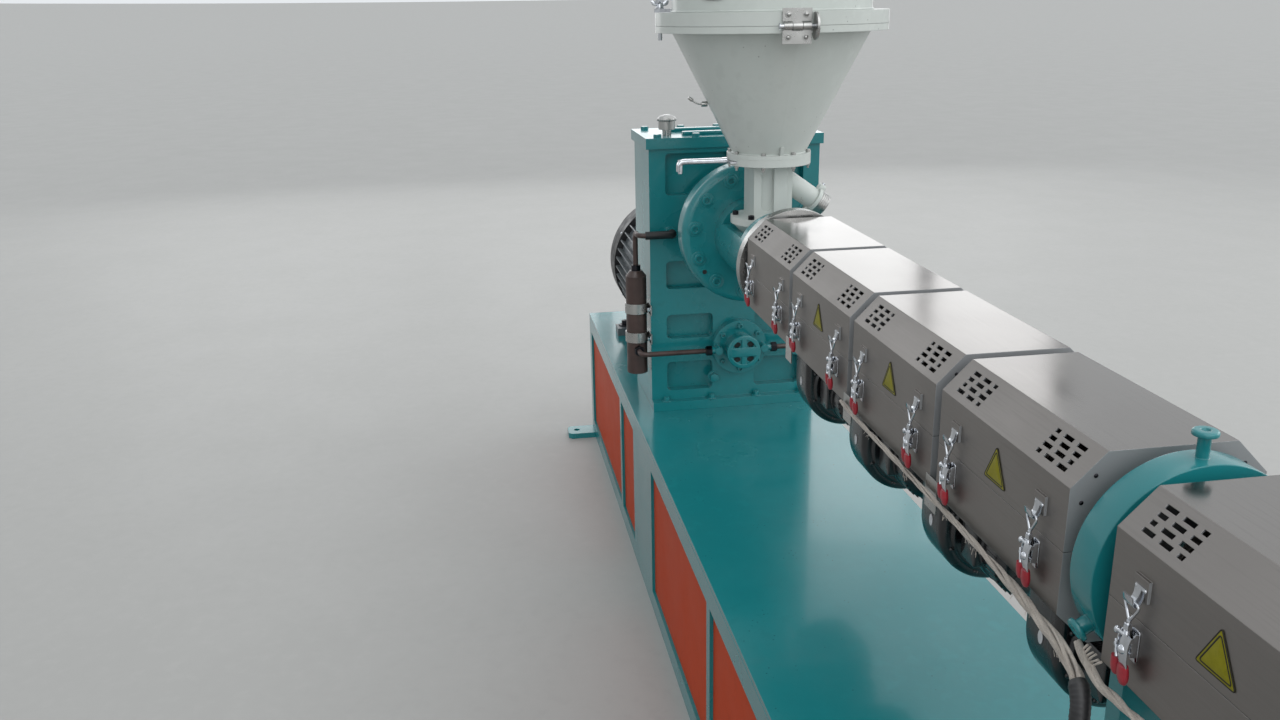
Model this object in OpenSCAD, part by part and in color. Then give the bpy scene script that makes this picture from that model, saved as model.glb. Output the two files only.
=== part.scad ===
// Single-screw plastic extruder on its machine base.
// Origin on the floor, below the screw axis, at the middle of the base.
// +X runs from the gearbox towards the die, +Y is the hinge side, +Z is up.

/* [Base] */
// Length of the machine base
base_l = 3400; // [3300:10:3700]
// Width of the machine base
base_w = 536; // [500:2:620]
// Height of the deck above the floor
base_h = 460; // [420:5:520]
// Thickness of the deck plate
deck_t = 12; // [8:1:20]
// Side of the square frame tube
tube_w = 50; // [40:1:60]
// Width of the slim posts between the side panels
post_w = 30; // [20:1:50]
// Thickness of the side panels
panel_t = 3; // [2:0.5:6]
// Depth that the side panels lie behind the frame's face
panel_recess = 8; // [4:1:16]
// Width of the closed frame stretch below the gearbox face
wide_post_w = 300; // [200:10:360]
// Distance from the closed stretch to the first rear post
rear_bay_l = 255; // [200:5:400]
// Number of panel bays in front of the closed stretch
front_bays = 3; // [2:1:4]
// Length of each anchor lug along the base
lug_l = 80; // [60:2:120]
// Reach of each anchor lug beyond the base's side
lug_reach = 100; // [80:2:140]
// Thickness of the anchor lugs
lug_t = 20; // [12:1:30]
// Diameter of the anchor bolt holes
lug_hole_d = 22; // [14:1:30]

/* [Screw and barrel] */
// Height of the screw axis above the floor
axis_h = 1000; // [970:5:1050]
// Bore of the barrel
bore_d = 65; // [55:1:75]
// Outer diameter of the barrel
barrel_d = 116; // [104:1:120]
// Radial running clearance of the screw in the barrel
screw_gap = 0.3; // [0.15:0.05:0.6]
// Diameter of the screw's root
screw_root_d = 46; // [38:1:48]
// Diameter of the die flange
die_flange_d = 210; // [190:2:230]
// Thickness of the die flange
die_flange_t = 40; // [25:1:50]
// Diameter of the die flange's recess for the breaker plate
die_recess_d = 96; // [80:1:110]
// Depth of the die flange's recess
die_recess_t = 14; // [8:1:20]
// Diameter of the feed flange at the barrel's rear
feed_flange_d = 248; // [230:2:256]
// Thickness of the feed flange
feed_flange_t = 28; // [20:1:36]
// Diameter of the feed block
feed_d = 190; // [176:2:200]
// Diameter of the joint ring
ring_d = 230; // [200:2:240]
// Width of the joint ring
ring_w = 40; // [30:1:50]
// Pitch circle of the die flange's bolt holes
die_pcd = 170; // [160:1:176]
// Diameter of the die flange's bolt holes
die_hole_d = 14; // [10:1:16]
// Number of the die flange's bolt holes
die_holes = 8; // [6:1:10]

/* [Heated zones] */
// Length of one zone's cover
cover_l = 310; // [290:2:316]
// Length from one cover's start to the next
zone_pitch = 330; // [326:2:340]
// Number of zones behind the joint ring
rear_zones = 4; // [3:1:4]
// Half of the cover's width and height
cover_r = 110; // [104:1:116]
// Length of the cover's slanted corners along each side
cover_chamfer = 38; // [30:1:44]
// Sheet thickness of the covers
sheet_t = 2; // [1.5:0.5:3]
// Gap between an upper cover and its tray when shut
shut_gap = 0.5; // [0.3:0.1:1]
// Distance from the feed block's face to the first cover
first_cover_x = 5; // [5:1:15]
// Length of the joint ring's stretch between the covers
ring_space = 85; // [75:1:110]
// Outer diameter of the heater bands
heater_d = 164; // [150:1:176]
// Length of one zone's heater band
heater_l = 260; // [200:2:280]
// Fins on one heater band
heater_fins = 12; // [8:1:16]
// Furthest opening of an upper cover, degrees
cover_open = 100; // [60:5:110]
// Diameter of the cover hinges' knuckles
knuckle_d = 12; // [10:1:16]
// Diameter of the cover hinges' pins
hinge_pin_d = 5; // [4:0.5:6]
// Length of one cover hinge
hinge_l = 50; // [40:2:70]

/* [Blowers] */
// Radius of the blower's scroll
scroll_r = 88; // [80:1:92]
// Width of the blower's scroll
scroll_w = 82; // [70:1:90]
// Drop of the blower's shaft below the screw axis
blower_drop = 203.5; // [200:0.5:215]
// Sideways offset of the blower's shaft
blower_y = 54; // [48:1:60]
// Diameter of the blower's motor
blower_motor_d = 119; // [100:1:124]
// Length of the blower's motor
blower_motor_l = 118; // [90:1:130]

/* [Gearbox] */
// Distance from the origin back to the gearbox's front face
gear_face = 640; // [620:5:660]
// Sideways offset of the gearbox towards the hinge side
gear_y = 20; // [0:5:30]
// Depth of the gearbox along the machine
gear_d = 240; // [220:5:380]
// Width of the gearbox
gear_w = 466; // [440:2:490]
// Height of the gearbox's top above the screw axis
gear_rise = 213; // [200:1:240]
// Thickness of the gearbox's top cover
gear_lid_t = 28; // [20:1:40]
// Depth of the casting's pockets
pocket_d = 28; // [15:1:40]
// Width of the casting beside the pockets
pocket_wall = 44; // [36:1:52]
// Rounding of the pockets' corners
pocket_round = 12; // [6:1:20]
// Diameter of the thrust bearing housing's flange
bearing_d = 350; // [330:2:360]
// Length of the thrust bearing housing in front of the gearbox
bearing_l = 260; // [240:2:270]
// Thickness of the bearing housing's flange
bearing_flange_t = 66; // [40:1:80]
// Diameter of the bearing housing's neck at the gearbox
bearing_neck_d = 250; // [220:2:260]
// Rounding of the bearing housing's front edge
bearing_round = 18; // [8:1:24]
// Diameter of the oil pump's mounting flange
pump_d = 152; // [140:1:160]
// Diameter of the oil pump's front cap
pump_cap_d = 84; // [70:1:90]
// Sideways offset of the oil pump from the screw axis
pump_y = 32; // [20:1:44]
// Height of the oil pump's shaft above the deck
pump_rise = 175; // [160:1:190]
// Diameter of the oil cooler
cooler_d = 57; // [50:1:64]
// Length of the oil cooler
cooler_l = 290; // [250:2:300]
// Height of the oil cooler's foot above the deck
cooler_rise = 105; // [90:5:120]
// Diameter of the oil pipes
pipe_d = 14; // [10:1:18]

/* [Motor] */
// Height of the motor's shaft above the deck
motor_h = 225; // [224:1:240]
// Diameter of the motor's finned body
motor_d = 430; // [400:2:440]
// Length of the motor's finned body
motor_l = 440; // [400:5:460]
// Number of cooling fins round the motor
motor_fins = 44; // [32:2:52]
// Height of the cooling fins
motor_fin_h = 18; // [10:1:24]
// Length of the motor's fan cowl
cowl_l = 120; // [100:5:130]
// Distance from the gearbox back to the motor
coupling_l = 120; // [80:5:160]
// Diameter of the coupling's guard
guard_d = 190; // [150:2:220]

/* [Hopper] */
// Distance from the origin back to the hopper's axis
hopper_back = 240; // [230:2:250]
// Width of the feed throat's column
throat_w = 90; // [84:1:100]
// Diameter of the feed throat
throat_d = 70; // [55:1:80]
// Height of the column's top flange above the screw axis
throat_top = 211; // [205:1:225]
// Diameter of the hopper drum
drum_d = 440; // [420:2:460]
// Height of the hopper drum
drum_l = 450; // [400:5:500]
// Height of the cone's rim above the screw axis
cone_top = 500; // [490:2:520]
// Diameter of the rim flanges
rim_d = 514; // [500:2:530]
// Thickness of the cone's rim flange
rim_t = 14; // [8:1:18]
// Height of the drum's rim band
drum_rim_t = 28; // [14:1:36]
// Wall thickness of the hopper
hopper_wall = 3; // [2:0.5:5]
// Angle of the drain spout below the horizontal
drain_tilt = 35; // [25:1:45]
// Diameter of the drain spout
drain_d = 50; // [40:1:54]
// Length of the drain spout outside the column
drain_l = 85; // [70:1:100]
// Turn of the hopper's hinge away from the die's side, degrees
hopper_hinge_turn = -4; // [-20:1:20]
// Furthest tilt of the hopper drum, degrees
drum_open = 90; // [60:5:95]
// Furthest pull of the slide gate
gate_pull = 80; // [60:2:84]

/* [Hidden] */
$fn = 48;

// Small overlap that joins solids of one piece
weld = 1;
// Reach of a cutter past the surface that it cuts
cut = 2;

// Colours of the finishes
teal = [0.10, 0.45, 0.45];
orange = [0.72, 0.30, 0.18];
stainless = [0.66, 0.66, 0.65];
zinc = [0.78, 0.79, 0.80];
cream = [0.80, 0.82, 0.76];
black = [0.07, 0.07, 0.08];
brown = [0.24, 0.16, 0.14];
red = [0.72, 0.08, 0.16];
steel = [0.56, 0.57, 0.58];
sleeve = [0.74, 0.73, 0.68];

// Places along the machine
gear_x = -gear_face;
gear_back = gear_x - gear_d;
hopper_x = -hopper_back;
feed_front = first_cover_x - 15;
front_cover_x = first_cover_x + (rear_zones - 1) * zone_pitch + cover_l + ring_space;
zone_x = [for (i = [0:rear_zones]) i < rear_zones ? first_cover_x + i * zone_pitch : front_cover_x];
ring_x = front_cover_x - ring_space / 2;
barrel_end = front_cover_x + cover_l + 25;

// Section of the covers, an octagon round the screw axis
flat = cover_r - cover_chamfer;
hinge_out = knuckle_d / 2 + 2;
hinge_y = cover_r + hinge_out;

// Axis helper: draws its children along +X from x, centred on (y, z)
module along_x(x, y, z) {
    translate([x, y, z]) rotate([90, 0, 90]) children();
}

// A round bar along X
module bar_x(x, y, z, d, l) {
    translate([x, y, z]) rotate([0, 90, 0]) cylinder(d = d, h = l);
}

// A round bar along Y
module bar_y(x, y, z, d, l) {
    translate([x, y, z]) rotate([-90, 0, 0]) cylinder(d = d, h = l);
}

// A box from its low corner to its high corner
module block(low, high) {
    translate(low) cube(high - low);
}

// Mirrors its children to both sides of the machine
module both_sides() {
    children();
    mirror([0, 1, 0]) children();
}

// Revolves an outline of [radius, distance] points about a line along X
module turned_x(x, y, z, outline) {
    translate([x, y, z]) rotate([0, 90, 0]) rotate_extrude() polygon(outline);
}

// Points of a quarter circle from one angle to another
function arc(cx, cy, r, from, to, steps = 6) =
    [for (i = [0:steps]) let (a = from + (to - from) * i / steps) [cx + r * cos(a), cy + r * sin(a)]];

// Places of the frame's posts along X
wide_x0 = gear_x - 10;
wide_x1 = wide_x0 + wide_post_w;
front_bay_l = (base_l / 2 - wide_x1) / front_bays;
post_x = concat([-base_l / 2 + tube_w / 2, wide_x0 - rear_bay_l],
    [for (i = [1:front_bays - 1]) wide_x1 + i * front_bay_l], [base_l / 2 - tube_w / 2]);
side_y = base_w / 2;
rail_top = base_h - deck_t;
closed_t = 6;
// Edges of the panel bays along X
bay_edges = [
    [-base_l / 2 + tube_w, post_x[1] - post_w / 2],
    [post_x[1] + post_w / 2, wide_x0],
    for (i = [0:front_bays - 1]) [wide_x1 + i * front_bay_l + (i > 0 ? post_w / 2 : 0),
        wide_x1 + (i + 1) * front_bay_l - (i < front_bays - 1 ? post_w / 2 : tube_w)]];

module base_frame() {
    color(teal) {
        both_sides() {
            block([-base_l / 2, side_y - tube_w, 0], [base_l / 2, side_y, tube_w]);
            block([-base_l / 2, side_y - tube_w, rail_top - tube_w], [base_l / 2, side_y, rail_top]);
            for (i = [0:len(post_x) - 1])
                let (w = (i == 0 || i == len(post_x) - 1) ? tube_w : post_w)
                    block([post_x[i] - w / 2, side_y - tube_w, 0], [post_x[i] + w / 2, side_y, rail_top]);
            for (x = [wide_x0, wide_x1 - tube_w])
                block([x, side_y - tube_w, 0], [x + tube_w, side_y, rail_top]);
        }
        for (x = [-base_l / 2, wide_x0, base_l / 2 - tube_w], z = [0, rail_top - tube_w])
            block([x, -side_y, z], [x + tube_w, side_y, z + tube_w]);
    }
}

module closed_panels() {
    color(teal) both_sides() block([wide_x0 + tube_w, side_y - closed_t, tube_w],
        [wide_x1 - tube_w, side_y, rail_top - tube_w]);
}

module deck_plate() {
    color(teal) block([-base_l / 2, -side_y, rail_top], [base_l / 2, side_y, base_h]);
}

module side_panels() {
    color(orange) {
        both_sides() for (b = bay_edges)
            block([b[0], side_y - panel_recess - panel_t, tube_w],
                [b[1], side_y - panel_recess, rail_top - tube_w]);
        for (s = [-1, 1]) translate([s * (base_l / 2 - panel_recess - panel_t / 2), 0, 0])
            block([-panel_t / 2, -side_y + tube_w, tube_w], [panel_t / 2, side_y - tube_w, rail_top - tube_w]);
    }
}

// Places of the anchor bolts
anchor_x = base_l / 2 - 10 - lug_l / 2;
anchor_y = side_y + lug_reach * 0.67;

module anchor_lug() {
    c = 12;
    difference() {
        translate([0, side_y, 0]) linear_extrude(lug_t)
            polygon([[-lug_l / 2, 0], [lug_l / 2, 0], [lug_l / 2, lug_reach - c], [lug_l / 2 - c, lug_reach],
                [-lug_l / 2 + c, lug_reach], [-lug_l / 2, lug_reach - c]]);
        translate([0, anchor_y, -cut]) cylinder(d = lug_hole_d, h = lug_t + 2 * cut);
    }
}

module anchor_lugs() {
    color(teal) both_sides() for (s = [-1, 1]) translate([s * anchor_x, 0, 0]) anchor_lug();
}

// Rows of pockets in the gearbox casting: [height above the deck, height, distance from the middle]
pocket_rows = [[52, 83, 60], [203, 68, 59], [345, 77, 64]];
top_pocket_h = 111;
top_pocket_gap = 13;
top_pocket_mid = 15;
gear_top = axis_h + gear_rise;
lid_low = gear_top - gear_lid_t;
lid_out = 8;
foot_t = 26;
foot_out = 24;
oil_boss_y = -156;
oil_boss_z = axis_h - 39;
oil_boss_d = 34;
oil_boss_t = 14;

// A rectangle with rounded corners from its low corner
module rounded(w, h, r) {
    translate([r, 0]) square([w - 2 * r, h]);
    translate([0, r]) square([w, h - 2 * r]);
    for (y = [r, w - r], z = [r, h - r]) translate([y, z]) circle(r);
}

// One pocket of the gearbox's face on the hinge side
module pocket(low, h, mid) {
    along_x(gear_x - pocket_d, mid, base_h + low) linear_extrude(pocket_d + cut)
        rounded(gear_w / 2 - pocket_wall - mid, h, pocket_round);
}

module gearbox_housing() {
    color(teal) difference() {
        union() {
            block([gear_back, gear_y - gear_w / 2, base_h], [gear_x, gear_y + gear_w / 2, lid_low]);
            block([gear_back - foot_out, gear_y - gear_w / 2, base_h],
                [gear_x + foot_out, gear_y + gear_w / 2, base_h + foot_t]);
            bar_x(gear_x - weld, oil_boss_y, oil_boss_z, oil_boss_d, oil_boss_t + weld);
        }
        translate([0, gear_y, 0]) both_sides() {
            for (row = pocket_rows) pocket(row[0], row[1], row[2]);
            pocket(lid_low - base_h - top_pocket_gap - top_pocket_h, top_pocket_h, top_pocket_mid);
        }
    }
}

module gearbox_lid() {
    color(teal) block([gear_back - lid_out, gear_y - gear_w / 2 - lid_out, lid_low],
        [gear_x + lid_out, gear_y + gear_w / 2 + lid_out, gear_top]);
}

breather_in = 60;
breather_d = 44;

module breather() {
    color(black) translate([gear_x - breather_in, gear_y - gear_w / 2 + breather_in, gear_top]) {
        cylinder(d = breather_d * 0.55, h = 16);
        translate([0, 0, 16]) cylinder(d = breather_d, h = 22);
    }
}

bearing_front = gear_x + bearing_l;

module bearing_housing() {
    r = bearing_d / 2;
    n = bearing_neck_d / 2;
    back = bearing_l - bearing_flange_t;
    color(teal) turned_x(gear_x, 0, axis_h, concat(
        [[0, 0], [n, 0], [n + 12, back - 24], [r - 8, back], [r, back + 8]],
        arc(r - bearing_round, bearing_l - bearing_round, bearing_round, 0, 90),
        [[0, bearing_l]]));
}

pump_z = base_h + pump_rise;
pump_flange_t = 26;
pump_cap_t = 46;
pump_x = gear_x + pump_flange_t;
port_y = 64;
elbow_d = 22;
elbow_reach = 16;
elbow_l = 24;
cap_hole_r = 28;
cap_hole_d = 17;
cap_hole_t = 8;

// Mirrors its children to the other side of a plane of equal y when s is negative
module mirror_y_about(y, s) {
    if (s > 0) children();
    else translate([0, 2 * y, 0]) mirror([0, 1, 0]) children();
}

module oil_pump() {
    color(teal) {
        bar_x(gear_x, pump_y, pump_z, pump_d, pump_flange_t);
        difference() {
            bar_x(pump_x - weld, pump_y, pump_z, pump_cap_d, pump_cap_t + weld);
            for (a = [45:90:315]) translate([pump_x + pump_cap_t - cap_hole_t, pump_y, pump_z])
                rotate([a, 0, 0]) bar_x(0, cap_hole_r, 0, cap_hole_d, cap_hole_t + cut);
        }
    }
    color(black) for (s = [-1, 1]) {
        bar_x(pump_x - weld, pump_y + s * port_y, pump_z, elbow_d, elbow_reach + elbow_d / 2 + weld);
        mirror_y_about(pump_y, s) bar_y(pump_x + elbow_reach, pump_y + port_y, pump_z, elbow_d - 4, elbow_l);
    }
}

cooler_gap = 6;
cooler_x = gear_x - 34;
cooler_y = gear_y - gear_w / 2 - cooler_gap - cooler_d / 2;
cooler_low = base_h + cooler_rise;
cooler_neck = cooler_d / 4;
strap_t = 3;
strap_w = 28;
strap_from_end = 90;
strap_ear = 22;
fit_gap = 0.3;

module oil_cooler() {
    color(brown) translate([cooler_x, cooler_y, cooler_low]) {
        cylinder(d = cooler_d, h = cooler_l - cooler_neck);
        translate([0, 0, cooler_l - cooler_neck - weld])
            cylinder(d1 = cooler_d, d2 = cooler_d * 0.6, h = cooler_neck + weld);
    }
}

module cooler_straps() {
    r = cooler_d / 2;
    color(steel) for (z = [strap_from_end, cooler_l - strap_from_end - strap_w])
        translate([cooler_x, cooler_y, cooler_low + z]) difference() {
            union() {
                cylinder(r = r + fit_gap + strap_t, h = strap_w);
                block([-r - strap_ear, r + cooler_gap - strap_t, 0],
                    [r + strap_ear, r + cooler_gap, strap_w]);
            }
            translate([0, 0, -cut]) cylinder(r = r + fit_gap, h = strap_w + 2 * cut);
        }
}

pipe_x = pump_x + elbow_reach;
pipe_side = 30;
hose_x = gear_x + oil_boss_t + 12;
hose_sleeve_l = 34;
hose_sleeve_d = 22;

module oil_pipes() {
    stub = port_y + elbow_l;
    far_y = gear_y + gear_w / 2 - pipe_side;
    color(brown) {
        bar_y(pipe_x, cooler_y, pump_z, pipe_d, pump_y - stub - cooler_y);
        translate([pipe_x, cooler_y, pump_z]) sphere(d = pipe_d);
        bar_x(cooler_x + cooler_d / 2 + fit_gap, cooler_y, pump_z, pipe_d,
            pipe_x - cooler_x - cooler_d / 2 - fit_gap);
        bar_y(pipe_x, pump_y + stub, pump_z, pipe_d, far_y - pump_y - stub);
        translate([pipe_x, far_y, pump_z]) sphere(d = pipe_d);
        bar_x(gear_x, far_y, pump_z, pipe_d, pipe_x - gear_x);
        bar_x(gear_x + oil_boss_t, oil_boss_y, oil_boss_z, hose_sleeve_d, 12 + hose_sleeve_d / 2);
        bar_y(hose_x, oil_boss_y - hose_sleeve_l, oil_boss_z, hose_sleeve_d, hose_sleeve_l);
        bar_y(hose_x, cooler_y, oil_boss_z, pipe_d, oil_boss_y - cooler_y);
        for (x = [hose_x, cooler_x]) translate([x, cooler_y, oil_boss_z]) sphere(d = pipe_d);
        bar_x(cooler_x, cooler_y, oil_boss_z, pipe_d, hose_x - cooler_x);
        translate([cooler_x, cooler_y, cooler_low + cooler_l + fit_gap])
            cylinder(d = pipe_d, h = oil_boss_z - cooler_low - cooler_l - fit_gap);
    }
}

motor_z = base_h + motor_h;
motor_front = gear_back - coupling_l;
bell_l = 40;
foot_l = 60;
web_l = 40;
foot_in = 40;

module fin_ring() {
    circle(d = motor_d - 2 * motor_fin_h);
    for (i = [0:motor_fins - 1]) rotate(i * 360 / motor_fins)
        translate([motor_d / 2 - motor_fin_h - 4, -2]) square([motor_fin_h + 4, 4]);
}

module motor_body() {
    x = motor_front - bell_l - motor_l;
    color(steel) {
        along_x(x, gear_y, motor_z) linear_extrude(motor_l) fin_ring();
        bar_x(x + motor_l - weld, gear_y, motor_z, motor_d - 20, bell_l + weld);
        for (dx = [foot_in, motor_l - foot_in - foot_l]) translate([x + dx, gear_y, 0]) both_sides() {
            block([0, motor_d / 4, base_h], [foot_l, motor_d / 2 + 10, base_h + foot_t]);
            block([10, motor_d / 4, base_h + foot_t - weld], [10 + web_l, motor_d / 4 + 30, motor_z]);
        }
    }
}

module motor_cowl() {
    x = motor_front - bell_l - motor_l;
    r = motor_d / 2 + 4;
    color(black) turned_x(x - cowl_l, gear_y, motor_z,
        concat([[0, 0]], arc(r - 20, 20, 20, -90, 0), [[r, cowl_l], [0, cowl_l]]));
}

box_l = 150;
box_w = 170;
box_h = 90;

module motor_terminal_box() {
    z = motor_z + motor_d / 2 + fit_gap;
    color(black) block([motor_front - bell_l - box_l, gear_y - box_w / 2, z],
        [motor_front - bell_l, gear_y + box_w / 2, z + box_h]);
}

module coupling_guard() {
    color(orange) bar_x(motor_front, gear_y, motor_z, guard_d, gear_back - foot_out - motor_front);
}

column_low = 40;
saddle_h = 18;
throat_foot_t = 16;
throat_foot_r = 86;
flat_half = throat_foot_r + 4;

module feed_block() {
    l = feed_front - feed_flange_t - bearing_front;
    color(teal) difference() {
        bar_x(bearing_front, 0, axis_h, feed_d, l);
        block([hopper_x - flat_half, -feed_d, axis_h + column_low],
            [hopper_x + flat_half, feed_d, axis_h + feed_d]);
        translate([hopper_x, 0, axis_h]) cylinder(d = throat_d, h = column_low + cut);
    }
}

module feed_flange() {
    color(steel) bar_x(feed_front - feed_flange_t, 0, axis_h, feed_flange_d, feed_flange_t);
}

throat_flange_t = 16;
gate_t = 4;
gate_play = 0.5;
gate_w = 86;
gate_low = axis_h + throat_top - throat_flange_t / 2 - gate_t / 2;
gate_back_y = 50;
throat_flange_d = 192;
drain_rise = 151;
drain_in = 20;
drain_flange_d = 62;
drain_flange_t = 9;
drain_cap_d = 54;
drain_cap_t = 24;
panel_w = 26;
panel_low = 90;
panel_deep = 5;
panel_side = 14;
rib_w = 31;
rib_out = 8;

// Draws its children at the drain spout's root on the column, with +Z along the spout
module at_drain() {
    translate([hopper_x, throat_w / 2, axis_h + drain_rise]) rotate([-90 - drain_tilt, 0, 0]) children();
}

module throat_column() {
    low = axis_h + column_low;
    top = axis_h + throat_top;
    column_h = throat_top - throat_flange_t - column_low - saddle_h;
    color(cream) difference() {
        union() {
            translate([hopper_x, 0, low]) {
                cylinder(r1 = throat_foot_r - 20, r2 = throat_foot_r - 2, h = saddle_h + weld);
                translate([0, 0, saddle_h]) cylinder(r = throat_foot_r, h = throat_foot_t);
                translate([0, 0, saddle_h]) linear_extrude(column_h + weld) square(throat_w, center = true);
            }
            block([hopper_x + throat_w / 2 - weld, 0, low + saddle_h],
                [hopper_x + throat_w / 2 + rib_out, rib_w, top - throat_flange_t + weld]);
            translate([hopper_x, 0, top - throat_flange_t])
                cylinder(d = throat_flange_d, h = throat_flange_t);
            at_drain() {
                translate([0, 0, -drain_in]) cylinder(d = drain_d, h = drain_l + drain_in);
                translate([0, 0, drain_l - drain_flange_t]) cylinder(d = drain_flange_d, h = drain_flange_t);
            }
        }
        translate([hopper_x, 0, low - cut]) cylinder(d = throat_d, h = throat_top - column_low + 2 * cut);
        block([hopper_x - gate_w / 2 - gate_play, -throat_flange_d, gate_low - gate_play],
            [hopper_x + gate_w / 2 + gate_play, gate_back_y + gate_play, gate_low + gate_t + gate_play]);
        along_x(hopper_x + throat_w / 2 - panel_deep, -panel_w / 2 - panel_side, axis_h + panel_low)
            linear_extrude(panel_deep + cut) {
                translate([0, panel_w / 2])
                    square([panel_w, throat_top - throat_flange_t - panel_low - panel_w]);
                translate([panel_w / 2, panel_w / 2]) circle(d = panel_w);
            }
    }
}

module drain_slide() {
    color(steel) at_drain() translate([0, 0, drain_l]) cylinder(d = drain_cap_d, h = drain_cap_t);
}

gate_rod_d = 10;
gate_rod_l = 112;
gate_tip_l = 26;
gate_front_y = -throat_flange_d / 2 - 4;

module slide_gate() {
    z = gate_low + gate_t / 2;
    color(zinc) {
        block([hopper_x - gate_w / 2, gate_front_y, gate_low],
            [hopper_x + gate_w / 2, gate_back_y, gate_low + gate_t]);
        bar_y(hopper_x, gate_front_y - gate_rod_l, z, gate_rod_d, gate_rod_l + weld);
        translate([hopper_x, gate_front_y - gate_rod_l + gate_rod_d / 2, z - gate_tip_l])
            cylinder(d = gate_rod_d, h = gate_tip_l);
    }
}

cone_low = throat_top + 10;
neck_r = 84;

module hopper_cone() {
    r = drum_d / 2;
    w = hopper_wall;
    color(cream) {
        translate([hopper_x, 0, axis_h]) rotate_extrude() polygon([
            [throat_d / 2, throat_top], [throat_flange_d / 2, throat_top], [throat_flange_d / 2, cone_low],
            [neck_r, cone_low], [r, cone_top - rim_t], [rim_d / 2, cone_top - rim_t], [rim_d / 2, cone_top],
            [r - w, cone_top], [r - w, cone_top - rim_t], [neck_r - w, cone_low], [throat_d / 2, cone_low]]);
    }
}

// Outer radius of the cone at a height above the screw axis
function cone_r(h) = neck_r + (drum_d / 2 - neck_r) * (h - cone_low) / (cone_top - rim_t - cone_low);

drum_low = cone_top + 0.5;
leaf_t = 4;
leaf_w = 60;
leaf_h = 32;
leaf_clear = 9;
hopper_knuckle_d = 14;
hopper_pin_d = 8;
hopper_pin_r = rim_d / 2 + fit_gap + hopper_knuckle_d / 2 + 0.7;
drum_knuckle_l = 20;
knuckle_play = 1;
clamp_spacing = 120;

// Draws its children at the hopper's rim, with +X pointing away from the hopper's axis
module at_rim(turn) {
    translate([hopper_x, 0, axis_h + cone_top]) rotate([0, 0, turn]) children();
}

module hopper_drum() {
    r = drum_d / 2;
    w = hopper_wall;
    color(cream) translate([hopper_x, 0, axis_h]) rotate_extrude() polygon([
        [r - w, drum_low], [rim_d / 2, drum_low], [rim_d / 2, drum_low + drum_rim_t],
        [r, drum_low + drum_rim_t], [r, drum_low + drum_l], [r - w, drum_low + drum_l]]);
}

lid_out_r = 6;
lid_t = 6;
lid_cone_h = 24;
lid_knob_d = 40;

module hopper_lid() {
    r = drum_d / 2;
    color(cream) translate([hopper_x, 0, axis_h + drum_low + drum_l]) {
        cylinder(r = r + lid_out_r, h = lid_t);
        translate([0, 0, lid_t - weld]) cylinder(r1 = r, r2 = r * 0.3, h = lid_cone_h + weld);
        translate([0, 0, lid_t + lid_cone_h - weld]) cylinder(d = lid_knob_d, h = lid_knob_d / 2);
    }
}

// Half of the hopper's hinge above the joint: its leaf and its knuckles, as [start, length] along Y
module hinge_half(knuckles) {
    inner = rim_d / 2 + fit_gap;
    block([inner, -leaf_w / 2, leaf_clear], [inner + leaf_t, leaf_w / 2, leaf_clear + leaf_h - 6]);
    for (k = knuckles) {
        bar_y(hopper_pin_r, k[0], 0, hopper_knuckle_d, k[1]);
        block([inner, k[0], 1], [inner + leaf_t, k[0] + k[1], leaf_clear + weld]);
    }
}

module hopper_hinge() {
    side = drum_knuckle_l / 2 + knuckle_play;
    l = leaf_w / 2 - side - 2;
    color(zinc) at_rim(hopper_hinge_turn) {
        mirror([0, 0, 1]) hinge_half([[side, l], [-side - l, l]]);
        bar_y(hopper_pin_r, -side - l, 0, hopper_pin_d, 2 * (side + l));
    }
}

module drum_hinge_leaf() {
    color(zinc) at_rim(hopper_hinge_turn) difference() {
        hinge_half([[-drum_knuckle_l / 2, drum_knuckle_l]]);
        bar_y(hopper_pin_r, -leaf_w, 0, hopper_pin_d + 0.1, 2 * leaf_w);
    }
}

clamp_w = 28;
clamp_reach = 20;
clamp_clearance = 4;
clamp_t = 8;
stud_d = 10;
stud_out = 12;
stud_low = -34;
stud_top = 50;
wing_t = 6;

module rim_clamps() {
    z = drum_low - cone_top + drum_rim_t;
    // The clamp reaches in over the rim, short of the drum's wall
    reach_in = min(clamp_reach, (rim_d - drum_d) / 2 - clamp_clearance);
    color(zinc) for (side = [-1, 1]) at_rim(hopper_hinge_turn + side * clamp_spacing) {
        block([rim_d / 2 - reach_in, -clamp_w / 2, z],
            [rim_d / 2 + clamp_reach, clamp_w / 2, z + clamp_t]);
        translate([rim_d / 2 + stud_out, 0, stud_low]) cylinder(d = stud_d, h = stud_top - stud_low);
        block([rim_d / 2 + stud_out - stud_d / 2, -clamp_w / 2, stud_top - weld],
            [rim_d / 2 + stud_out + stud_d / 2, clamp_w / 2, stud_top + wing_t]);
    }
}

sensor_d = 14;
sensor_l = 34;
sensor_rise = 330;
sensor_turn = -95;

module heat_sensor() {
    color(steel) translate([hopper_x, 0, axis_h + sensor_rise]) rotate([0, 0, sensor_turn])
        bar_x(cone_r(sensor_rise + sensor_d / 2) + fit_gap, 0, 0, sensor_d, sensor_l);
}

module barrel() {
    color(steel) difference() {
        bar_x(feed_front, 0, axis_h, barrel_d, barrel_end - feed_front);
        bar_x(feed_front - cut, 0, axis_h, bore_d, barrel_end - feed_front + 2 * cut);
    }
}

screw_tip_l = 40;

module screw() {
    r = bore_d / 2 - screw_gap;
    l = barrel_end - feed_front;
    color(zinc) turned_x(feed_front, 0, axis_h, [[0, 0], [r, 0], [r, 60], [screw_root_d / 2, 90],
        [screw_root_d / 2, l - screw_tip_l], [4, l - 2], [0, l - 2]]);
}

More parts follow.
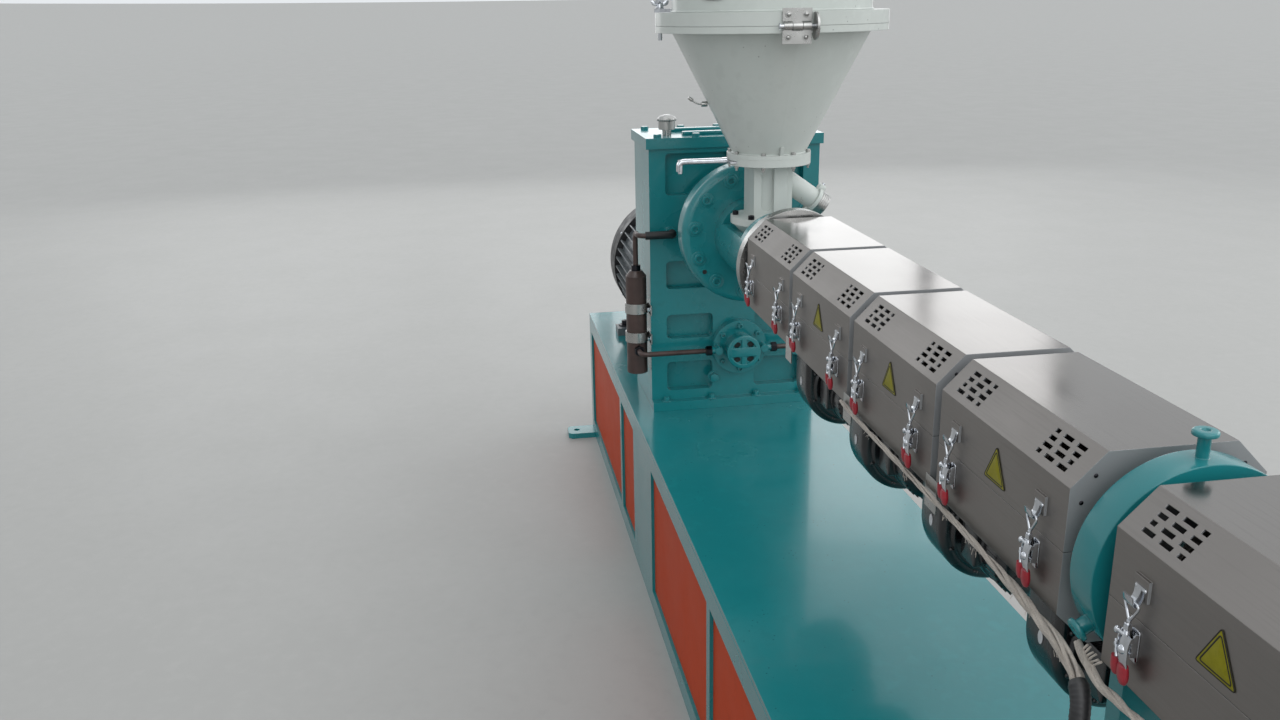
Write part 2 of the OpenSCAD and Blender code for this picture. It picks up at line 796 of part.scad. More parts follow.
module heater_bands() {
    ri = barrel_d / 2 + fit_gap;
    ro = heater_d / 2;
    pitch = heater_l / heater_fins;
    color(steel) for (x = zone_x) turned_x(x + (cover_l - heater_l) / 2, 0, axis_h, concat(
        [[ri, 0]],
        [for (i = [0:heater_fins - 1]) for (p = [[ro, 0], [ro, 0.4], [ro - 9, 0.4], [ro - 9, 1]])
            [p[0], (i + p[1]) * pitch]],
        [[ri, heater_l]]));
}

support_t = 24;
support_w = 120;
support_foot = [60, 220, 16];

module barrel_support() {
    color(teal) {
        block([ring_x - support_t / 2, -support_w / 2, base_h],
            [ring_x + support_t / 2, support_w / 2, axis_h - ring_d / 2 - fit_gap]);
        block([ring_x - support_foot[0] / 2, -support_foot[1] / 2, base_h],
            [ring_x + support_foot[0] / 2, support_foot[1] / 2, base_h + support_foot[2]]);
    }
}

// Bolts of the joint ring: [angle from the top, length of the bare shank]
ring_bolts = [[0, 16], [120, 4], [240, 4]];

module joint_ring() {
    color(teal) difference() {
        union() {
            bar_x(ring_x - ring_w / 2, 0, axis_h, ring_d, ring_w);
            for (b = ring_bolts) translate([ring_x, 0, axis_h]) rotate([b[0], 0, 0]) {
                translate([0, 0, ring_d / 2 - weld]) cylinder(d = 18, h = b[1] + weld);
                translate([0, 0, ring_d / 2 + b[1] - weld]) cylinder(d = 31, h = 13 + weld);
            }
        }
        bar_x(ring_x - ring_w / 2 - cut, 0, axis_h, barrel_d + 2 * fit_gap, ring_w + 2 * cut);
    }
}

module die_flange() {
    color(steel) difference() {
        bar_x(barrel_end, 0, axis_h, die_flange_d, die_flange_t);
        bar_x(barrel_end - cut, 0, axis_h, bore_d, die_flange_t + 2 * cut);
        bar_x(barrel_end + die_flange_t - die_recess_t, 0, axis_h, die_recess_d, die_recess_t + cut);
        for (i = [0:die_holes - 1]) rotate_about_axis(i * 360 / die_holes)
            bar_x(barrel_end - cut, die_pcd / 2, 0, die_hole_d, die_flange_t + 2 * cut);
    }
}

// Turns its children, drawn round the origin, about the screw axis
module rotate_about_axis(a) {
    translate([0, 0, axis_h]) rotate([a, 0, 0]) children();
}

// Upper half of the covers' section
function upper_points(r, c) = [[-r, 0], [r, 0], [r, r - c], [r - c, r], [-r + c, r], [-r, r - c]];

module upper_section(inset) {
    intersection() {
        polygon(upper_points(cover_r - inset, cover_chamfer - inset * 0.586));
        translate([-cover_r, shut_gap / 2]) square([2 * cover_r, cover_r]);
    }
}

cover_hole_d = barrel_d + 12;
tray_hole_d = barrel_d + 2 * fit_gap;

module half_shell(l, hole_d) {
    difference() {
        linear_extrude(l) upper_section(0);
        translate([0, 0, sheet_t]) linear_extrude(l - 2 * sheet_t) upper_section(sheet_t);
        translate([-cover_r + sheet_t, -cut, sheet_t])
            cube([2 * (cover_r - sheet_t), 2 * cut, l - 2 * sheet_t]);
        translate([0, 0, -cut]) cylinder(d = hole_d, h = l + 2 * cut);
    }
}

knuckle_gap = 0.5;

// Leaf and knuckles of the hinges, on the cover's side or on the tray's side
module cover_hinges(x, upper) {
    third = hinge_l / 3;
    for (dx = [50, cover_l - 50 - hinge_l]) translate([x + dx, 0, axis_h]) {
        if (upper) difference() {
            union() {
                bar_x(third + knuckle_gap, hinge_y, 0, knuckle_d, third - 2 * knuckle_gap);
                block([third + knuckle_gap, cover_r - weld / 2, shut_gap / 2 + 1],
                    [2 * third - knuckle_gap, hinge_y, 6]);
                block([0, cover_r - weld / 2, knuckle_d], [hinge_l, cover_r + 2, 30]);
                block([third + knuckle_gap, cover_r - weld / 2, 1], [2 * third - knuckle_gap, cover_r + 2, 30]);
            }
            bar_x(-cut, hinge_y, 0, hinge_pin_d + 0.1, hinge_l + 2 * cut);
        } else {
            for (s = [0, 2 * third]) {
                bar_x(s, hinge_y, 0, knuckle_d, third);
                block([s, cover_r - weld / 2, -6], [s + third, hinge_y, -shut_gap / 2 - 1]);
            }
            bar_x(0, hinge_y, 0, hinge_pin_d, hinge_l);
            block([0, cover_r - weld / 2, -30], [hinge_l, cover_r + 2, -knuckle_d]);
            for (s = [0, 2 * third]) block([s, cover_r - weld / 2, -30], [s + third, cover_r + 2, -1]);
        }
    }
}

// Vent slots: [row, start, length] in steps of the brick pattern
vent_rows = [[[0, 2], [3, 2], [6, 1]], [[0, 1], [2, 2], [5, 2]], [[0, 1.5], [2.5, 2], [5.5, 1.5]],
    [[0, 2], [3, 2], [6, 1]]];
vent_step = 8.7;
vent_pitch = 9.7;
vent_h = 5;

module vent_group(flip) {
    for (r = [0:len(vent_rows) - 1]) for (s = vent_rows[r])
        let (a = s[0] * vent_step, l = s[1] * vent_step, x = flip ? -a - l : a)
            translate([x, (r - 1.5) * vent_pitch - vent_h / 2, -10]) cube([l, vent_h, 20]);
}

vent_from_end = 25;

module cover_vents(x) {
    mid = (cover_r + flat) / 2;
    for (s = [-1, 1]) translate([0, s * mid, axis_h + mid]) rotate([-s * 45, 0, 0]) {
        translate([x + vent_from_end, 0, 0]) vent_group(false);
        translate([x + cover_l - vent_from_end, 0, 0]) vent_group(true);
    }
}

latch_from_end = 50;
latch_x = [latch_from_end, cover_l - latch_from_end];
keeper_h = 33;

module cover(i) {
    x = zone_x[i];
    color(stainless) {
        difference() {
            along_x(x, 0, axis_h) half_shell(cover_l, cover_hole_d);
            cover_vents(x);
        }
        cover_hinges(x, true);
        for (dx = latch_x) block([x + dx - 11, -cover_r - 3, axis_h + keeper_h - 10],
            [x + dx + 11, -cover_r + weld / 2, axis_h + keeper_h + 12]);
    }
}

module tray(i) {
    x = zone_x[i];
    color(stainless) {
        difference() {
            translate([0, 0, 2 * axis_h]) mirror([0, 0, 1]) along_x(x, 0, axis_h)
                half_shell(cover_l, tray_hole_d);
            block([x + cover_l / 2 - 34, blower_y - scroll_r + 3, axis_h - cover_r - cut],
                [x + cover_l / 2 + 34, blower_y - scroll_r + 67, axis_h - cover_r + sheet_t + cut]);
        }
        cover_hinges(x, false);
    }
}

link_w = 36;
link_h = 46;

module tray_links() {
    color(zinc) for (i = [0:rear_zones - 2]) both_sides()
        block([zone_x[i] + cover_l + (zone_pitch - cover_l) / 2 - link_w / 2, cover_r, axis_h - link_h - 54],
            [zone_x[i] + cover_l + (zone_pitch - cover_l) / 2 + link_w / 2, cover_r + 2, axis_h - 54]);
}

module each_latch() {
    for (x = zone_x) for (dx = latch_x) translate([x + dx, -cover_r, axis_h]) children();
}

module latches() {
    color(zinc) each_latch() {
        block([-12, -3, -46], [12, 0, -8]);
        for (s = [-1, 1]) block([s * 10 - 1.5, -16, -40], [s * 10 + 1.5, -3, -12]);
        for (s = [-1, 1]) block([s * 6 - 1.5, -16, -44], [s * 6 + 1.5, -10, -20]);
        translate([-14, -13, -26]) rotate([0, 90, 0]) cylinder(d = 6, h = 28);
    }
}

module latch_grips() {
    color(red) each_latch() for (s = [-1, 1]) translate([s * 6, -13, -64]) cylinder(d = 9, h = 20);
}

blower_z = axis_h - blower_drop;
duct_w = 70;
duct_rim = 8;
duct_rim_t = 6;

module blower_scrolls() {
    duct_low = blower_y - scroll_r;
    top = axis_h - cover_r;
    color(black) for (x = zone_x) translate([x + cover_l / 2, 0, 0]) {
        bar_x(-scroll_w / 2, blower_y, blower_z, 2 * scroll_r, scroll_w);
        block([-scroll_w / 2, duct_low, blower_z], [scroll_w / 2, duct_low + duct_w, top - duct_rim_t]);
        block([-scroll_w / 2 - duct_rim, duct_low - duct_rim, top - duct_rim_t],
            [scroll_w / 2 + duct_rim, duct_low + duct_w + duct_rim, top]);
    }
}

module blower_motors() {
    color(black) for (x = zone_x)
        bar_x(x + cover_l / 2 + scroll_w / 2, blower_y, blower_z, blower_motor_d, blower_motor_l);
}

gland_x = 1420;
gland_y = -150;

module loom_gland() {
    color(black) translate([gland_x, gland_y, base_h]) cylinder(d = 46, h = 24);
}

// Route of the wire loom from below the covers down to its gland
loom_route = [[640, -117, 931], [700, -117.5, 928], [780, -118, 927], [870, -118.5, 927],
    [945, -119, 926.5], [1014, -119, 926], [1076, -119.5, 926], [1130, -120, 925], [1200, -120, 922],
    [1248, -120, 920], [1293, -121, 917], [1328, -122, 914], [1353, -123, 909], [1374, -124.5, 902],
    [1392, -128, 888], [1402, -133, 866], [1409, -138, 820], [1415, -144, 720], [1420, -149, 600],
    [1420, -150, 484]];
// Diameter of the loom at its first branch and at its gland
loom_start_d = 9;
loom_d = 20;

function unit(v) = v / norm(v);
function tangent(p, i) = unit(i == 0 ? p[1] - p[0] : i == len(p) - 1 ? p[i] - p[i - 1] : p[i + 1] - p[i - 1]);

// A round tube along a route, its diameter growing evenly from point to point
module tube_along(p, d0, d1, sides = 8) {
    n = len(p);
    ring = [for (i = [0:n - 1])
        let (t = tangent(p, i), u = unit(cross(t, [0, 1, 0])), v = cross(t, u), r = (d0 + (d1 - d0) * i / (n - 1)) / 2)
            for (k = [0:sides - 1]) let (a = k * 360 / sides) p[i] + r * (cos(a) * u + sin(a) * v)];
    polyhedron(ring, concat(
        [[for (k = [0:sides - 1]) k]],
        [for (i = [0:n - 2]) for (k = [0:sides - 1])
            [i * sides + k, (i + 1) * sides + k, (i + 1) * sides + (k + 1) % sides,
                i * sides + (k + 1) % sides]],
        [[for (k = [sides - 1:-1:0]) (n - 1) * sides + k]]));
}

module wire_loom() {
    color(sleeve) tube_along(loom_route, loom_start_d, loom_d);
}

module cover_1() { cover(0); }
module cover_2() { cover(1); }
module cover_3() { cover(2); }
module cover_4() { cover(3); }
module cover_5() { cover(4); }
module tray_1() { tray(0); }
module tray_2() { tray(1); }
module tray_3() { tray(2); }
module tray_4() { tray(3); }
module tray_5() { tray(4); }

base_frame();
closed_panels();
deck_plate();
side_panels();
anchor_lugs();
gearbox_housing();
gearbox_lid();
breather();
bearing_housing();
oil_pump();
oil_cooler();
cooler_straps();
oil_pipes();
motor_body();
motor_cowl();
motor_terminal_box();
coupling_guard();
feed_block();
feed_flange();
throat_column();
drain_slide();
slide_gate();
hopper_cone();
hopper_drum();
hopper_lid();
hopper_hinge();
drum_hinge_leaf();
rim_clamps();
heat_sensor();
barrel();
screw();
heater_bands();
barrel_support();
joint_ring();
die_flange();
cover_1();
cover_2();
cover_3();
cover_4();
cover_5();
tray_1();
tray_2();
tray_3();
tray_4();
tray_5();
tray_links();
latches();
latch_grips();
blower_scrolls();
blower_motors();
wire_loom();
loom_gland();
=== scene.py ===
"""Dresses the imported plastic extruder: finishes for its solids, and the fine pieces that they carry.

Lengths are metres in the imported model's frame: +X runs from the gearbox to the die, +Y is the
hinge side, +Z is up, and the floor is z = 0.
"""

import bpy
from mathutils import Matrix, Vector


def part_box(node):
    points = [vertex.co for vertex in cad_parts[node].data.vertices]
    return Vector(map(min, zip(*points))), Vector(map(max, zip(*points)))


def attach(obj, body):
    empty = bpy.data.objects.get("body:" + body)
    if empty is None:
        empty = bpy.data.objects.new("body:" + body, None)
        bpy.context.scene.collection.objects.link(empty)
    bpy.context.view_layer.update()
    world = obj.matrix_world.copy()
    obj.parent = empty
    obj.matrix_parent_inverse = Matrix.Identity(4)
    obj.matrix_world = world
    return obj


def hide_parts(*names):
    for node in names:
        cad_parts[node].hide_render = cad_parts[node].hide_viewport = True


bl_info = {
    "name": "Plastic extruder dressing",
    "version": (1, 0, 0),
    "blender": (4, 5, 0),
    "location": "3D View > Sidebar > Extruder",
    "description": "Paints the extruder's solids and adds its latches, blowers, loom, bolts and plates",
    "category": "Object",
}

import bmesh
import bpy
import numpy as np
from mathutils import Matrix

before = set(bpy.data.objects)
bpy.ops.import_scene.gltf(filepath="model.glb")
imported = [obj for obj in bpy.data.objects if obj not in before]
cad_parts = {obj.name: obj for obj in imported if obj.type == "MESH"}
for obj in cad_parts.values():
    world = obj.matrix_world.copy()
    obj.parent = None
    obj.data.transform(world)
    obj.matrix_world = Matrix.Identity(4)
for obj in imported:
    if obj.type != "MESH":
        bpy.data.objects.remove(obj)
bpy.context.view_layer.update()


# Places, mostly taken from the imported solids


def low(node):
    """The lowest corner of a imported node's box."""
    return np.array(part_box(node)[0])


def high(node):
    """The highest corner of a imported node's box."""
    return np.array(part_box(node)[1])


def middle(node):
    """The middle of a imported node's box."""
    return (low(node) + high(node)) / 2


# The screw's axis and the deck, then the covers' half width and ends, their latches and blowers
ZONES = 5
AXIS_Z = middle("die_flange")[2]
DECK_Z = high("deck_plate")[2]
LINK_THICK = 0.002
COVER_HALF = high("tray_links")[1] - LINK_THICK
COVER_X = [(low(f"cover_{i}")[0], high(f"cover_{i}")[0]) for i in range(1, ZONES + 1)]
LATCH_FROM_END = 0.050
CASING_HALF = 0.041
# The gearbox's top cover and front face, its oil pump's face and shaft, the cooler and the motor's shaft
GEAR_LOW, GEAR_HIGH = low("gearbox_lid"), high("gearbox_lid")
LID_LIP, PUMP_FLANGE, PUMP_REACH = 0.008, 0.026, 0.088
GEAR_X = GEAR_HIGH[0] - LID_LIP
BEARING_X = high("bearing_housing")[0]
PUMP_X = GEAR_X + PUMP_FLANGE
PUMP = np.array([low("oil_pump")[1] + PUMP_REACH, middle("oil_pump")[2]])
COOLER = middle("oil_cooler")
MOTOR = middle("motor_cowl")
# The hopper's axis, its rim and its drum's wall, and the leaves of the hinge on the rim
HOPPER = middle("hopper_drum")[:2]
RIM_Z = high("hopper_cone")[2]
RIM_R, RIM_REACH = 0.257, 0.037
DRUM_R = (high("hopper_drum")[0] - low("hopper_drum")[0]) / 2 - RIM_REACH
LEAF_GAP, LEAF_THICK = 0.0003, 0.004
# Turns from +X to the hopper's hinge and to the sensor on its cone, as the solids have them
HINGE_TURN = np.radians(-4.0)
SENSOR_TURN, SENSOR_LENGTH = np.radians(-95.0), 0.034


# Shapes: each is a list of points and a list of four-cornered faces


def unit(v):
    """Vectors of length one."""
    return v / np.maximum(np.linalg.norm(v, axis=-1, keepdims=True), 1e-12)


def net(points, around=False, along=False):
    """Faces over a grid of points P[i, j]; around joins its last column to its first, along its last row."""
    rows, cols = points.shape[:2]
    index = np.arange(rows * cols).reshape(rows, cols)
    if around:
        index = np.column_stack([index, index[:, 0]])
    if along:
        index = np.vstack([index, index[:1]])
    corners = [index[:-1, :-1], index[:-1, 1:], index[1:, 1:], index[1:, :-1]]
    return points.reshape(-1, 3), np.stack(corners, -1).reshape(-1, 4)


def joined(*shapes):
    """Several shapes as one, each one's face numbers moved on by the points before it."""
    starts = np.cumsum([0] + [len(s[0]) for s in shapes[:-1]])
    faces = [s[1] + n for s, n in zip(shapes, starts)]
    return np.vstack([s[0] for s in shapes]), np.vstack(faces)


def set_out(shape, places, turn=None):
    """Copies of a shape: copy k is turn_k P + place_k."""
    points, faces = shape
    places = np.atleast_2d(np.asarray(places, float))
    turns = np.eye(3) if turn is None else np.asarray(turn, float)
    turns = np.broadcast_to(turns, (len(places), 3, 3))
    moved = np.einsum("kij,nj->kni", turns, points) + places[:, None]
    starts = len(points) * np.arange(len(places))
    return moved.reshape(-1, 3), (faces[None] + starts[:, None, None]).reshape(-1, 4)


def facing(way):
    """Turns a shape drawn along +Z to look along a direction.

    Towards -Y a shape's x and y become +X and +Z, and towards +X they become +Y and +Z.
    """
    w = unit(np.asarray(way, float))
    side = np.where(np.abs(w[..., 2:]) > 0.9, [1.0, 0.0, 0.0], [0.0, 0.0, 1.0])
    u = unit(np.cross(side, w))
    return np.stack([u, np.cross(w, u), w], -1)


TO_DIE, TO_GEARBOX = facing((1, 0, 0)), facing((-1, 0, 0))
TO_HINGES, TO_LATCHES = facing((0, 1, 0)), facing((0, -1, 0))
UP, DOWN = facing((0, 0, 1)), facing((0, 0, -1))
# Turns that stand a flat shape up by its y, and by its x
ON_EDGE = np.array([[1.0, 0, 0], [0, 0, -1], [0, 1, 0]])
SIDEWAYS = np.array([[0.0, 0, -1], [0, 1, 0], [1, 0, 0]])


def softened(points, radius, steps=4, loop=False):
    """Rounds an outline's corners: (1 - t)^2 a + 2 t (1 - t) corner + t^2 b.

    Here a and b lie on both sides of a corner, a radius from it.
    """
    p = np.asarray(points, float)
    back, fore = np.roll(p, 1, 0) - p, np.roll(p, -1, 0) - p
    reach_back = np.minimum(radius, 0.49 * np.linalg.norm(back, axis=1, keepdims=True))
    reach_fore = np.minimum(radius, 0.49 * np.linalg.norm(fore, axis=1, keepdims=True))
    a = (p + unit(back) * reach_back)[:, None]
    b = (p + unit(fore) * reach_fore)[:, None]
    t = np.linspace(0, 1, steps + 1)[None, :, None]
    bend = (1 - t) ** 2 * a + 2 * t * (1 - t) * p[:, None] + t**2 * b
    if loop:
        return bend.reshape(-1, p.shape[1])
    return np.vstack([p[:1], bend[1:-1].reshape(-1, p.shape[1]), p[-1:]])


def flowing(points, steps=8):
    """A smooth run through points p0, p1, p2, p3: the usual cubic whose slope at p1 is (p2 - p0) / 2."""
    p = np.asarray(points, float)
    p = np.vstack([2 * p[0] - p[1], p, 2 * p[-1] - p[-2]])
    a, b, c, d = (q[:, None] for q in (p[:-3], p[1:-2], p[2:-1], p[3:]))
    t = (np.arange(steps) / steps)[None, :, None]
    run = b + (c - a) * t / 2 + (2 * a - 5 * b + 4 * c - d) * t**2 / 2
    run = run + (3 * b - a - 3 * c + d) * t**3 / 2
    return np.vstack([run.reshape(-1, p.shape[1]), p[-2:-1]])


def oval(a, b, steps=24):
    """An ellipse's outline with half axes a and b."""
    t = np.arange(steps) * 2 * np.pi / steps
    return np.stack([a * np.cos(t), b * np.sin(t)], -1)


def oblong(width, height, radius=0.0, steps=4):
    """A rectangle's outline round the origin, its corners rounded."""
    x, y = width / 2, height / 2
    corners = [[-x, -y], [x, -y], [x, y], [-x, y]]
    return softened(corners, radius, steps, loop=True) if radius else np.array(corners)


def turned(outline, steps=32, loop=False):
    """A turned shape: an outline point (r, h) at angle a stands at (r cos a, r sin a, h)."""
    r, h = (np.asarray(outline, float)[:, k, None] for k in (0, 1))
    a = np.arange(steps) * 2 * np.pi / steps
    rings = np.stack([r * np.cos(a), r * np.sin(a), h + 0 * a], -1)
    return net(rings, around=True, along=loop)


def slab(outline, thick, edge=0.0, steps=3):
    """A plate on z = 0 with rounded edges.

    The outline is drawn in along its corners' bisectors by edge (1 - sin t) while it climbs by
    edge (1 - cos t), at both faces, and the faces close at its middle.
    """
    p = np.asarray(outline, float)
    back, fore = unit(p - np.roll(p, 1, 0)), unit(np.roll(p, -1, 0) - p)
    out = np.stack([back[:, 1] + fore[:, 1], -back[:, 0] - fore[:, 0]], -1)
    out = out / (1 + (back * fore).sum(-1, keepdims=True))
    t = np.linspace(0, np.pi / 2, steps + 1) if edge else np.array([np.pi / 2])
    drawn, rise = edge * (1 - np.sin(t)), edge * (1 - np.cos(t))
    drawn = np.concatenate([drawn, drawn[::-1]])[:, None, None]
    height = np.concatenate([rise, thick - rise[::-1]])[:, None]
    flat = p[None] - out[None] * drawn
    rings = np.concatenate([flat, np.broadcast_to(height, flat.shape[:2])[..., None]], -1)
    poles = [np.broadcast_to([*p.mean(0), z], rings[:1].shape) for z in (0, thick)]
    return net(np.concatenate([poles[0], rings, poles[1]]), around=True)


def swept(path, section, lean=(0.0, 0.0, 1.0), sizes=1.0, twist=0.0, loop=False):
    """Carries a closed section (u, v) along a path.

    Ring i stands at path_i + s_i (u U_i + v V_i). U_i is square to the path and to `lean`, V_i to
    the path and U_i, and both are turned by twist_i. Open ends close at a pole.
    """
    path = np.asarray(path, float)
    ahead = np.roll(path, -1, 0) - np.roll(path, 1, 0) if loop else np.gradient(path, axis=0)
    t = unit(ahead)
    u = unit(np.cross(np.asarray(lean, float), t))
    v = np.cross(t, u)
    c, s = (np.broadcast_to(f(twist), len(path))[:, None] for f in (np.cos, np.sin))
    u, v = c * u + s * v, c * v - s * u
    scale = np.broadcast_to(sizes, len(path))[:, None, None]
    ring = section[None, :, :1] * u[:, None] + section[None, :, 1:] * v[:, None]
    rings = path[:, None] + scale * ring
    if loop:
        return net(rings, around=True, along=True)
    ends = [np.broadcast_to(path[k], rings[:1].shape) for k in (0, -1)]
    return net(np.concatenate([ends[0], rings, ends[1]]), around=True)


def rod(start, end, radius, steps=16, edge=0.0):
    """A round bar between two points, with rounded ends."""
    start, end = np.asarray(start, float), np.asarray(end, float)
    length = np.linalg.norm(end - start)
    outline = softened([[0, 0], [radius, 0], [radius, length], [0, length]], edge or radius * 0.12, 3)
    return set_out(turned(outline, steps), start, facing(end - start))


def brick(size, centre, edge=0.001):
    """A block with rounded upright edges and rounded faces."""
    plate = slab(oblong(size[0], size[1], edge * 1.5, 3), size[2], edge, 2)
    return set_out(plate, np.asarray(centre, float) - [0, 0, size[2] / 2])


def six_sided(flats, steps=24):
    """Distance from a hexagon's middle to its side at evenly spaced angles: f / (2 cos b)."""
    a = np.arange(steps) * 2 * np.pi / steps
    return a, flats / 2 / np.cos((a + np.pi / 6) % (np.pi / 3) - np.pi / 6)


def hex_bolt(flats, washer=True):
    """A hexagon head on its washer: the hexagon's radius, cut to a circle at the top."""
    a, r = six_sided(flats)
    base = flats * 0.15 if washer else 0.0
    radii = np.stack([0 * r, r, r, np.minimum(r, 0.53 * flats), 0.3 * r, 0 * r])
    rise = base + flats * np.array([0, 0, 0.55, 0.64, 0.66, 0.66])
    rings = np.stack([radii * np.cos(a), radii * np.sin(a), rise[:, None] + 0 * r], -1)
    head = net(rings, around=True)
    if not washer:
        return head
    ring = [[0, 0], [flats * 0.95, 0], [flats * 0.98, base * 0.5], [flats * 0.93, base], [0, base]]
    return joined(turned(ring, 24), head)


def socket_bolt(width):
    """A round head with a six-sided socket: circle, rim, hexagon, hexagon at depth, middle."""
    a, r = six_sided(width * 0.5)
    full, tall = np.full_like(r, width / 2), width * 0.62
    radii = np.stack([0 * r, full, full, full * 0.92, r, r * 0.96, 0 * r])
    rise = tall * np.array([0, 0, 0.92, 1, 1, 0.45, 0.45])
    return net(np.stack([radii * np.cos(a), radii * np.sin(a), rise[:, None] + 0 * r], -1), around=True)


def dome(width, height, steps=16):
    """A screw's domed head: r = w/2 cos t, h = height sin t."""
    t = np.linspace(0, np.pi / 2, 6)
    outline = np.stack([width / 2 * np.cos(t), height * np.sin(t)], -1)
    return turned(np.vstack([[[0, 0]], outline]), steps)


def circle_of(count, radius, start=0.0):
    """Evenly spaced points on a circle, as (cos, sin) times its radius; start is in degrees."""
    a = np.radians(start) + np.arange(count) * 2 * np.pi / count
    return radius * np.stack([np.cos(a), np.sin(a)], -1)


def at_x(x, flat):
    """Flat points (y, z) put on the plane at x."""
    flat = np.atleast_2d(flat)
    return np.column_stack([np.full(len(flat), x), flat])


def at_z(z, flat):
    """Flat points (x, y) put on the plane at z."""
    flat = np.atleast_2d(flat)
    return np.column_stack([flat, np.full(len(flat), z)])


def turn_z(angle):
    """Turns about +Z by one angle or several."""
    angle = np.asarray(angle, float)
    c, s, o, i = np.cos(angle), np.sin(angle), 0 * angle, 0 * angle + 1
    return np.stack([np.stack([c, -s, o], -1), np.stack([s, c, o], -1), np.stack([o, o, i], -1)], -2)


def new_mesh(name, shape):
    """A shape's points and faces as a mesh."""
    mesh = bpy.data.meshes.new(name)
    mesh.from_pydata(shape[0].tolist(), [], shape[1].tolist())
    return mesh


def merge(mesh, face_up=False):
    """Merges a mesh's doubles, turns its faces outwards, or upwards, and shades them smoothly."""
    edit = bmesh.new()
    edit.from_mesh(mesh)
    bmesh.ops.remove_doubles(edit, verts=edit.verts, dist=2e-7)
    bmesh.ops.recalc_face_normals(edit, faces=edit.faces)
    if face_up and sum(face.normal.z for face in edit.faces) < 0:
        bmesh.ops.reverse_faces(edit, faces=edit.faces)
    edit.to_mesh(mesh)
    edit.free()
    mesh.polygons.foreach_set("use_smooth", np.ones(len(mesh.polygons), bool))


def linked(name, data):
    """A mesh, a lamp or a camera as an object in the scene."""
    obj = bpy.data.objects.new(name, data)
    bpy.context.scene.collection.objects.link(obj)
    return obj


def piece(name, shape, material, body="root", slot=None, stands_for=(), angle=35.0, run=None):
    """Makes a shape into an object that rides on its body, its edges sharp past an angle in degrees.

    The run holds each point's place on its straightened strand, for the finish's pattern.
    """
    mesh = new_mesh(name, shape)
    if run is not None:
        attribute = mesh.attributes.new("run", "FLOAT_VECTOR", "POINT")
        attribute.data.foreach_set("vector", run.astype(np.float32).ravel())
    merge(mesh)
    mesh.set_sharp_from_angle(angle=np.radians(angle))
    mesh.materials.append(material)
    obj = linked(name, mesh)
    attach(obj, body)
    if stands_for:
        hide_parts(*stands_for)
    return obj


# Finishes


